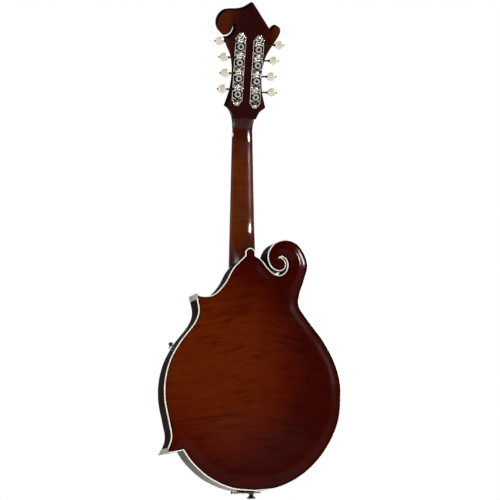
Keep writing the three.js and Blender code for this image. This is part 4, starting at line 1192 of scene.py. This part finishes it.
florida_end = ((BOARD_END - 2.0, 1.0), (BOARD_END, 0.86), (BOARD_END - 1.4, 0.6), (BOARD_END - 5.0, 0.3),
               (BOARD_END - 7.0, 0.0))
end_half = board_half(BOARD_END)
board_loop = [(-BOARD_HALF_NUT, -GAP), (BOARD_HALF_NUT, -GAP)]
board_loop += [(share * end_half, -distance) for distance, share in florida_end]
board_loop += [(-share * end_half, -distance) for distance, share in reversed(florida_end[:-1])]
fretboard = bevelled(slab("fretboard_planed", board_loop, 0, FRETBOARD_THICK, BOARD), 0.35)
settle(fretboard, ROOT, "ebony", ebony, "fretboard")

half_crown = [(0.05, 1.1), (-0.35, 1.02), (-0.7, 0.72), (-0.92, 0.36), (-1.0, 0)]
CROWN = half_crown + [(y, -z) for y, z in reversed(half_crown[:-1])]
FRET_END = 0.45
wires = []
for number in range(1, FRET_COUNT + 1):
    distance = fret_place(number)
    half = board_half(distance) - 0.15
    # The ends of the crown are filed lower over the last half millimetre.
    stations = ((-half, 0.35), (FRET_END - half, 1), (half - FRET_END, 1), (half, 0.35))
    rings = [[(x, y * (squeeze if y < 0 else 1), z - distance) for y, z in CROWN] for x, squeeze in stations]
    wires.append(sharpen(loft("fret", rings, BOARD), 50))
settle(join("fret_wires", wires), ROOT, "nickel", frets)

DOT = ((0, 2.5), (0.55, 2.5), (0.6, 2.35))
SIDE_DOT = ((0, 0.9), (0.5, 0.9), (0.56, 0.8))
dots, side_dots = [], []
for number in DOT_FRETS:
    middle = -(fret_place(number) + fret_place(number - 1)) / 2
    for x in ((-5.2, 5.2) if number == 12 else (0,)):
        dots.append(turned("dot", DOT, (0, -1, 0), (x, 0.5, middle), BOARD, 28))
    side_x = 0.5 - board_half(-middle)
    side_dots.append(turned("dot", SIDE_DOT, (-1, 0, 0), (side_x, 2.4, middle), BOARD, 16))
shell = pearly("shell_inlay", 420.0, 2.0, [(0.25, colour(214, 224, 220)), (0.45, colour(236, 226, 214)),
                                           (0.6, colour(196, 214, 206)), (0.8, colour(232, 236, 232))],
               Roughness=0.18, Coat_Weight=0.3)
settle(join("fret_dots", dots), ROOT, "pearl", shell)
settle(join("side_dots", side_dots), ROOT, "pearl", shell)

# --- Strings: where each course runs ---
COURSES = (("g", 0.5, True), ("d", 0.33, True), ("a", 0.21, False), ("e", 0.16, False))
NUT_SPREAD = 6.9
BRIDGE_SPREAD = 11.4
HITCH_SPREAD = 6.5
PAIR_HALF = 1.1
HITCH = (-31.0, 27.6)


def string_places():
    """Name, radius, wound, X at the nut, at the bridge and at the hitch, side label and post number."""
    rows = []
    for c, (course, radius, wound) in enumerate(COURSES):
        for i, inner in enumerate((-1, 1)):
            x = c - 1.5
            label = "bass" if x < 0 else "treble"
            order = c * 2 + i if x < 0 else 7 - (c * 2 + i)
            rows.append((f"{course}_{i + 1}", radius, wound, x * NUT_SPREAD + inner * PAIR_HALF,
                         x * BRIDGE_SPREAD + inner * PAIR_HALF * 1.3, x * HITCH_SPREAD + inner * PAIR_HALF,
                         label, order))
    return rows


STRINGS = string_places()

nut_section = ((0.2, 8.0), (0.2, -0.9), (1.2, -1.75), (3.6, -1.75), (4.8, -1.2), (4.8, 8.0))
nut_rings = []
for x in np.linspace(-BOARD_HALF_NUT, BOARD_HALF_NUT, 121):
    groove = max(1 - abs(x - nut_x) / (radius + 0.3) for _, radius, _, nut_x, *_ in STRINGS)
    sink = 0.55 * max(0.0, groove) ** 0.5
    crown = 0.5 * (x / BOARD_HALF_NUT) ** 6
    nut_rings.append([(x, y + (sink + crown if y < 0 else 0), z) for z, y in nut_section])
settle(sharpen(loft("nut_slotted", nut_rings, BOARD), 40), ROOT, "bone", bone, "nut")

# --- Bridge ---
WHEEL_X = 37.0
WHEEL_R = 4.8
WHEEL_BORE = 1.6
KNURLS = 36
KNURL_DEPTH = 0.3
WHEEL_LOW_Y = -42.8
WHEEL_HIGH_Y = -44.8
BASE_TOP_Y = -40.8
SADDLE_LOW_Y = -45.1
FOOT_HALF = 56
RELIEF_HALF = 30
# Distance from the middle and the height of the base's top there.
FOOT_TOP = ((40, -40.8), (43, -40.2), (46, -38.2), (50, -38), (54.5, -37.4), (56, -34.5))
surface_points = np.array([(x, BRIDGE_Z) for x in np.linspace(-FOOT_HALF, FOOT_HALF, 57)])
surface_y = -(HALF_DEPTH + arch(surface_points, distance_to(surface_points, OUTLINE), ARCH_FRONT))
base_rings = []
for (x, z), under in zip(surface_points, surface_y):
    top_y = np.interp(abs(x), *zip(*FOOT_TOP))
    low_y = under + 0.4 - 2.6 * max(0.0, 1 - (abs(x) / RELIEF_HALF) ** 4)
    wide = 5.0 if abs(x) > 34 else 4.4
    near = [(low_y, wide), (top_y + 1.0, wide), (top_y, wide - 1.0)]
    base_rings.append([(x, y, z - half) for y, half in near] + [(x, y, z + half) for y, half in near[::-1]])
settle(sharpen(loft("bridge_foot", base_rings), 40), ROOT, "ebony", ebony_across, "bridge_base")
stud_profile = [(0, 1.5), *((0.1 + i * 0.25, 1.5 if i % 2 else 1.2) for i in range(26))]
studs = [turned("stud", stud_profile, (0, -1, 0), (x, BASE_TOP_Y + 0.5, BRIDGE_Z), sides=24)
         for x in (-WHEEL_X, WHEEL_X)]
settle(join("bridge_studs", studs), ROOT, "nickel", nickel)

SADDLE_HALF = 45
SADDLE_DEEP = 3.2
saddle_rings = []
for x in np.linspace(-SADDLE_HALF, SADDLE_HALF, 181):
    share = abs(x) / SADDLE_HALF
    top_y = SADDLE_TOP_Y - 0.1 + 1.6 * max(0.0, (share - 0.5) / 0.5) ** 2 + (2.4 if share > 0.93 else 0)
    groove = max(1 - abs(x - bridge_x) / (radius + 0.35) for _, radius, _, _, bridge_x, *_ in STRINGS)
    top_y += 0.5 * max(0.0, groove) ** 0.5
    lean = 0.8 if int((x + 2 * BRIDGE_SPREAD) // BRIDGE_SPREAD) % 2 else -0.8
    lean *= max(0.0, min(1.0, (24 - abs(x)) / 2))
    low_y = SADDLE_LOW_Y if share > 0.68 else SADDLE_LOW_Y - 0.9
    section = ((low_y, -SADDLE_DEEP), (top_y + 2.6, -SADDLE_DEEP), (top_y + 0.35, lean - 1.25),
               (top_y, lean - 0.6), (top_y, lean + 0.6), (top_y + 0.35, lean + 1.25),
               (top_y + 2.6, SADDLE_DEEP), (low_y, SADDLE_DEEP))
    saddle_rings.append([(x, y, BRIDGE_Z + z) for y, z in section])
settle(sharpen(loft("bridge_saddle_carved", saddle_rings), 40), "bridge_saddle", "ebony", ebony_across,
       "bridge_saddle")
for label, side in SIDES:
    loop = round_loop(side * WHEEL_X, BRIDGE_Z, KNURLS * 4,
                      lambda a: WHEEL_R - KNURL_DEPTH * (0.5 + 0.5 * math.cos(a * KNURLS)))
    hole = round_loop(side * WHEEL_X, BRIDGE_Z, 24, lambda _: WHEEL_BORE)
    wheel = slab(f"thumbwheel_knurled_{label}", loop, WHEEL_HIGH_Y, WHEEL_LOW_Y, holes=(hole,))
    settle(sharpen(wheel, 40), f"bridge_thumbwheel_{label}", "nickel", nickel, f"bridge_thumbwheel_{label}")

# --- Tailpiece ---
RAIL_X = 16.0


def flat_box(name, low, high, round_edge=0.4):
    loop = rectangle(low[0], low[2], high[0], high[2])
    return bevelled(slab(name, loop, low[1], high[1]), round_edge)


base_parts = [flat_box("plate", (-RAIL_X, -26.4, -1.2), (RAIL_X, -24.6, 42)),
              flat_box("flange", (-RAIL_X, -26, -1.6), (RAIL_X, -6.5, 0.2), 0.6),
              flat_box("rail", (-RAIL_X, -35, 24), (1.2 - RAIL_X, -25, 42)),
              flat_box("rail", (RAIL_X - 1.2, -35, 24), (RAIL_X, -25, 42)),
              flat_box("bar", (-RAIL_X, -31, 24.2), (RAIL_X, -25, 26.6))]
for *_, x, _, _ in STRINGS:
    hook = ((x, -26, 26.4), (x, -29.6, 26.2), (x, -31.6, 25.2), (x, -33.0, 23.9))
    base_parts.append(tube("hook", curve(hook, 4), 0.75))
FLANGE_SCREW = ((0, 2.2), (0.5, 2.1), (1.1, 1.3), (1.2, 0.1))
for x, y in ((-8, -15), (8, -15), (0, -10.4)):
    base_parts.append(turned("screw", FLANGE_SCREW, (0, 0, -1), (x, y, -1.5)))
settle(join("tailpiece_frame", base_parts), ROOT, "nickel", nickel, "tailpiece_base")

cover_side = ((19.6, 52), (18.4, 55.6), (14.6, 57.8), (9.6, 57.4), (5.2, 56.8), (0, 60))
cover_plan = [(-19.6, -1), (19.6, -1)] + [tuple(p) for p in spline(cover_side, 6)] + [(0, 60)]
cover_plan += [tuple(p) for p in spline(mirrored(cover_side), 6)[1:]]
cover = slab("tailpiece_cover_stamped", cover_plan, -40.5, -28)
cover = bevelled(cover, 1.6, 4, 50)
hollow = [(-16.9, -3), (16.9, -3), (16.9, 51), (0, 55), (-16.9, 51)]
cut(cover, slab("hollow", hollow, -39.2, -20))
cut(cover, slab("foot", rectangle(-30, 21, 30, 90), -34.8, -20))
mark_edge(cover, INSTRUMENT, np.array(cover_plan))
plated = edge_lined(Surface("cover_nickel", Metallic=1.0, Roughness=0.18), (2.9, 3.1), (3.7, 3.5),
                    (130.0, 4.0), colour(206, 202, 192), colour(172, 166, 154), (0.05, 0.045, 0.04, 1))
plated.use("Roughness", plated.between(plated.noise(plated.place, 420.0, 3.0), 0.3, 0.7, False, (0.14, 0.28)))
settle(sharpen(cover, 40), "tailpiece_cover", "nickel", plated.material, "tailpiece_cover")

button_profile = ((-0.2, 5.0), (0.2, 5.3), (0.9, 4.9), (2.0, 3.8), (3.4, 3.2), (4.8, 3.15), (5.8, 3.7),
                  (6.6, 5.2), (7.3, 6.25), (8.0, 6.4), (8.6, 6.1), (9.2, 4.9), (9.6, 3.0), (9.7, 0.3))
settle(turned("strap_button_turned", button_profile, (0, 0, -1), (0, 1, 0), sides=40), ROOT, "black_button",
       button_black, "strap_button")

# --- Pickguard and clamp ---
GUARD_Y = -42.0
GUARD = ((25.4, 286), (27.2, 286.6), (33, 281), (44, 268), (56, 256), (66, 246), (73, 236), (76, 226),
         (75, 212), (72, 200), (67, 190), (60, 184), (55, 180), (50, 176), (46, 174.4), (42, 174),
         (27.4, 174))
guard_loop = np.array([*curve(GUARD, 4), (25.4, 176)])
guard = rounded_slab("pickguard_bevelled", guard_loop, GUARD_Y, GUARD_Y + 1.6, 0.45, INSTRUMENT, (1, 0))
mark_edge(guard, INSTRUMENT, guard_loop)
laminate = edge_lined(Surface("pickguard_laminate", Roughness=0.15, Coat_Weight=0.3), (0.1, 0.2), (1.5, 1.3),
                      (60.0, 4.0), colour(11, 10, 10), colour(20, 18, 17), colour(232, 220, 190))
settle(sharpen(guard, 50), ROOT, "black_gloss", laminate.material, "pickguard")

CLAMP_Z = 207.0
clamp_route = ((68, -40.2), (78, -38.8), (88, -38.2), (98, -36.2), (105.5, -31.6), (109.4, -24), (110.6, -14),
               (110.9, -5), (110.5, 1.4))
WIRE_R = 0.85
wire = []
for offset in (-3.2, 3.2):
    narrowing = [1 - 0.35 * i / len(clamp_route) for i in range(len(clamp_route))]
    route = [(x, y, CLAMP_Z + offset * share) for (x, y), share in zip(clamp_route, narrowing)]
    wire.append(tube("wire", curve(route, 5), WIRE_R, sides=14))
bend = []
for a in np.linspace(0, math.pi, 13):
    at_end = abs(math.cos(a)) > 0.99
    bend.append((110.5 if at_end else 110.3, 1.4 if at_end else 1.4 + 3.1 * math.sin(a),
                 CLAMP_Z + 2.08 * math.cos(a)))
wire.append(tube("bend", bend, WIRE_R, sides=14))
wire.append(flat_box("shoe", (66, -40.3, CLAMP_Z - 5.5), (79, -38.6, CLAMP_Z + 5.5)))
settle(join("pickguard_clamp_wire", wire), ROOT, "nickel", nickel, "pickguard_clamp")
knob_profile = ((-1.6, 1.0), (-0.2, 1.3), (0.1, 2.7), (0.6, 3.0), (2.2, 3.0), (2.7, 2.6), (2.9, 0.3))
knob = turned("clamp_knob", knob_profile, (1, 0, 0), (111.4, 1.6, CLAMP_Z))
settle(knob, ROOT, "black_gloss", button_black)


# --- Strings ---
def string_finish(name, base, other, pitch=None):
    surface = Surface(name, Metallic=1.0, Roughness=0.3)
    tint = surface.clouded(surface.noise(surface.place, 300.0, 3.0), base, other)
    if pitch:
        inputs = {"Vector": surface.place, "Scale": 0.314 * 1000 / pitch, "Distortion": 0.0}
        windings_and_groove_shade = surface.add("ShaderNodeTexWave", inputs, bands_direction="Z").outputs[1]
        # The dark bands between the windings are painted shade in the grooves. The bump gives the windings
        # their relief.
        tint = surface.mix(surface.math("MULTIPLY", windings_and_groove_shade, 0.45), tint, (0.05, 0.03, 0.015, 1))
        surface.bump(windings_and_groove_shade, 0.0001, 0.6)
    surface.use("Base Color", tint)
    return surface.material


plain_steel = string_finish("plain_string", colour(204, 204, 206), colour(168, 168, 172))
wound_bronze = string_finish("wound_string", colour(204, 160, 104), colour(172, 126, 74), 0.9)
COIL_Y = -23.4
POST_RADIUS = 2.35
COIL_STEPS = 20


def straight_run(start, end, steps):
    return [start + (end - start) * i / steps for i in range(steps + 1)]


def string(name, radius, wound, nut_x, bridge_x, hitch_x, label, order):
    finish = wound_bronze if wound else plain_steel
    saddle = Vector((bridge_x, SADDLE_TOP_Y + 0.25 - radius, BRIDGE_Z))
    hitch = Vector((hitch_x, *HITCH))
    nut = TO_BODY @ BOARD @ Vector((nut_x, -1.45 - radius, 1.6))
    post_x, post_z = post_place(label, order)
    reach = POST_RADIUS + radius
    inner = -math.copysign(reach, post_x)
    for part, start, steps in (("tail", hitch, 12), ("speaking", nut, 40)):
        run = tube(f"string_{name}_{part}", straight_run(start, saddle, steps), radius, sides=10)
        run.data.materials.append(finish)
        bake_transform(run)
        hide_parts(f"string_{name}")
    onto = TO_BODY @ HEAD @ Vector((post_x + inner, COIL_Y, post_z))
    loop = [hitch + Vector((0.9 * math.cos(a), -0.3 - 0.36 * math.sin(a), -1.3 - 1.3 * math.sin(a)))
            for a in np.linspace(0, 2 * math.pi, 17)]
    after = join(f"string_{name}_head", [tube("run", straight_run(nut, onto, 6), radius, sides=10),
                                         tube("loop", loop, radius * 0.9, sides=8)])
    settle(sharpen(after, 60), ROOT, "string_steel", finish, f"string_{name}")
    turns = 3.5 if radius > 0.3 else 4.5
    coil = []
    for i in range(int(turns * COIL_STEPS) + 1):
        angle = 2 * math.pi * i / COIL_STEPS
        coil.append((post_x + inner * math.cos(angle), COIL_Y + i / COIL_STEPS * radius * 2.05,
                     post_z + reach * math.sin(angle)))
    coil.append((coil[-1][0], coil[-1][1] + 0.3, coil[-1][2] + 0.9))
    wound_up = tube(f"string_{name}_coil", coil, radius, HEAD, 10)
    settle(wound_up, f"string_post_{label}_{order + 1}", "string_steel", finish)


for row in STRINGS:
    string(*row)

# --- Inside wood and the truss rod keep their CAD shapes ---
INSIDE = ("lining_back", "lining_soundboard", "tail_block", "upper_point_block", "lower_point_block",
          "tone_bar_bass", "tone_bar_treble", "truss_rod")
for name in INSIDE:
    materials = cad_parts[name].data.materials
    materials.clear()
    materials.append(rod_steel if name == "truss_rod" else bare_wood)


# --- Stage ---
FLOOR_Z = -1.0
ROOM_LIGHT = 0.08
floor_surface = Surface("studio_floor", Roughness=0.75)
floor_cloud = floor_surface.noise(floor_surface.place, 3.0, 3.0)
floor_surface.use("Base Color", floor_surface.clouded(floor_cloud, colour(236, 235, 234),
                                                      colour(238, 237, 236)))
floor_corners = [(x, y, FLOOR_Z) for x, y in rectangle(-12, -12, 12, 12)]
floor = add_mesh("floor", floor_corners, ((0, 1, 2, 3),), Matrix.Identity(4), smooth=False)
floor.data.materials.append(floor_surface.material)

world = bpy.data.worlds.new("studio")
bpy.context.scene.world = world
world.use_nodes = True
# The camera sees a white room; only a little of it lights the instrument.
tree = world.node_tree
seen = tree.nodes.new("ShaderNodeBackground")
dim = tree.nodes["Background"]
for node, strength in ((seen, 1.0), (dim, ROOM_LIGHT)):
    node.inputs["Color"].default_value = (1, 1, 1, 1)
    node.inputs["Strength"].default_value = strength
either = tree.nodes.new("ShaderNodeMixShader")
path = tree.nodes.new("ShaderNodeLightPath")
tree.links.new(path.outputs["Is Camera Ray"], either.inputs[0])
tree.links.new(dim.outputs[0], either.inputs[1])
tree.links.new(seen.outputs[0], either.inputs[2])
tree.links.new(either.outputs[0], tree.nodes["World Output"].inputs["Surface"])
bpy.context.scene.view_settings.view_transform = "Standard"


def soft_light(name, place, aim, size, power, diffuse=True, gloss=True):
    """An area light of size (width, height) at place, in metres, turned to face aim."""
    data = bpy.data.lights.new(name, "AREA")
    data.shape = "RECTANGLE"
    data.size, data.size_y = size
    data.energy = power
    light = placed(name, data)
    light.location = place
    light.rotation_euler = (Vector(aim) - Vector(place)).to_track_quat("-Z", "Y").to_euler()
    light.visible_diffuse = diffuse
    light.visible_glossy = gloss


sky = bpy.data.lights.new("overhead", "SUN")
sky.energy = 2.8
sky.angle = math.radians(70)
placed("overhead", sky).visible_glossy = False
soft_light("key", (3.0, 2.0, 1.9), (0, 0, -0.2), (1.2, 1.2), 54, gloss=False)
soft_light("side_strip", (-2.7, 1.45, 0.75), (0, 0, 0.1), (0.9, 1.1), 560, diffuse=False)
soft_light("side_fill", (-2.6, -0.35, 0.3), (0, 0, -0.1), (1.3, 2.4), 70, gloss=False)
soft_light("front_fill", (-1.8, -3.4, 1.2), (0, 0, -0.1), (1.6, 1.6), 38, gloss=False)
soft_light("front_side", (3.0, -2.4, -0.3), (0, 0, -0.1), (0.8, 1.2), 30)
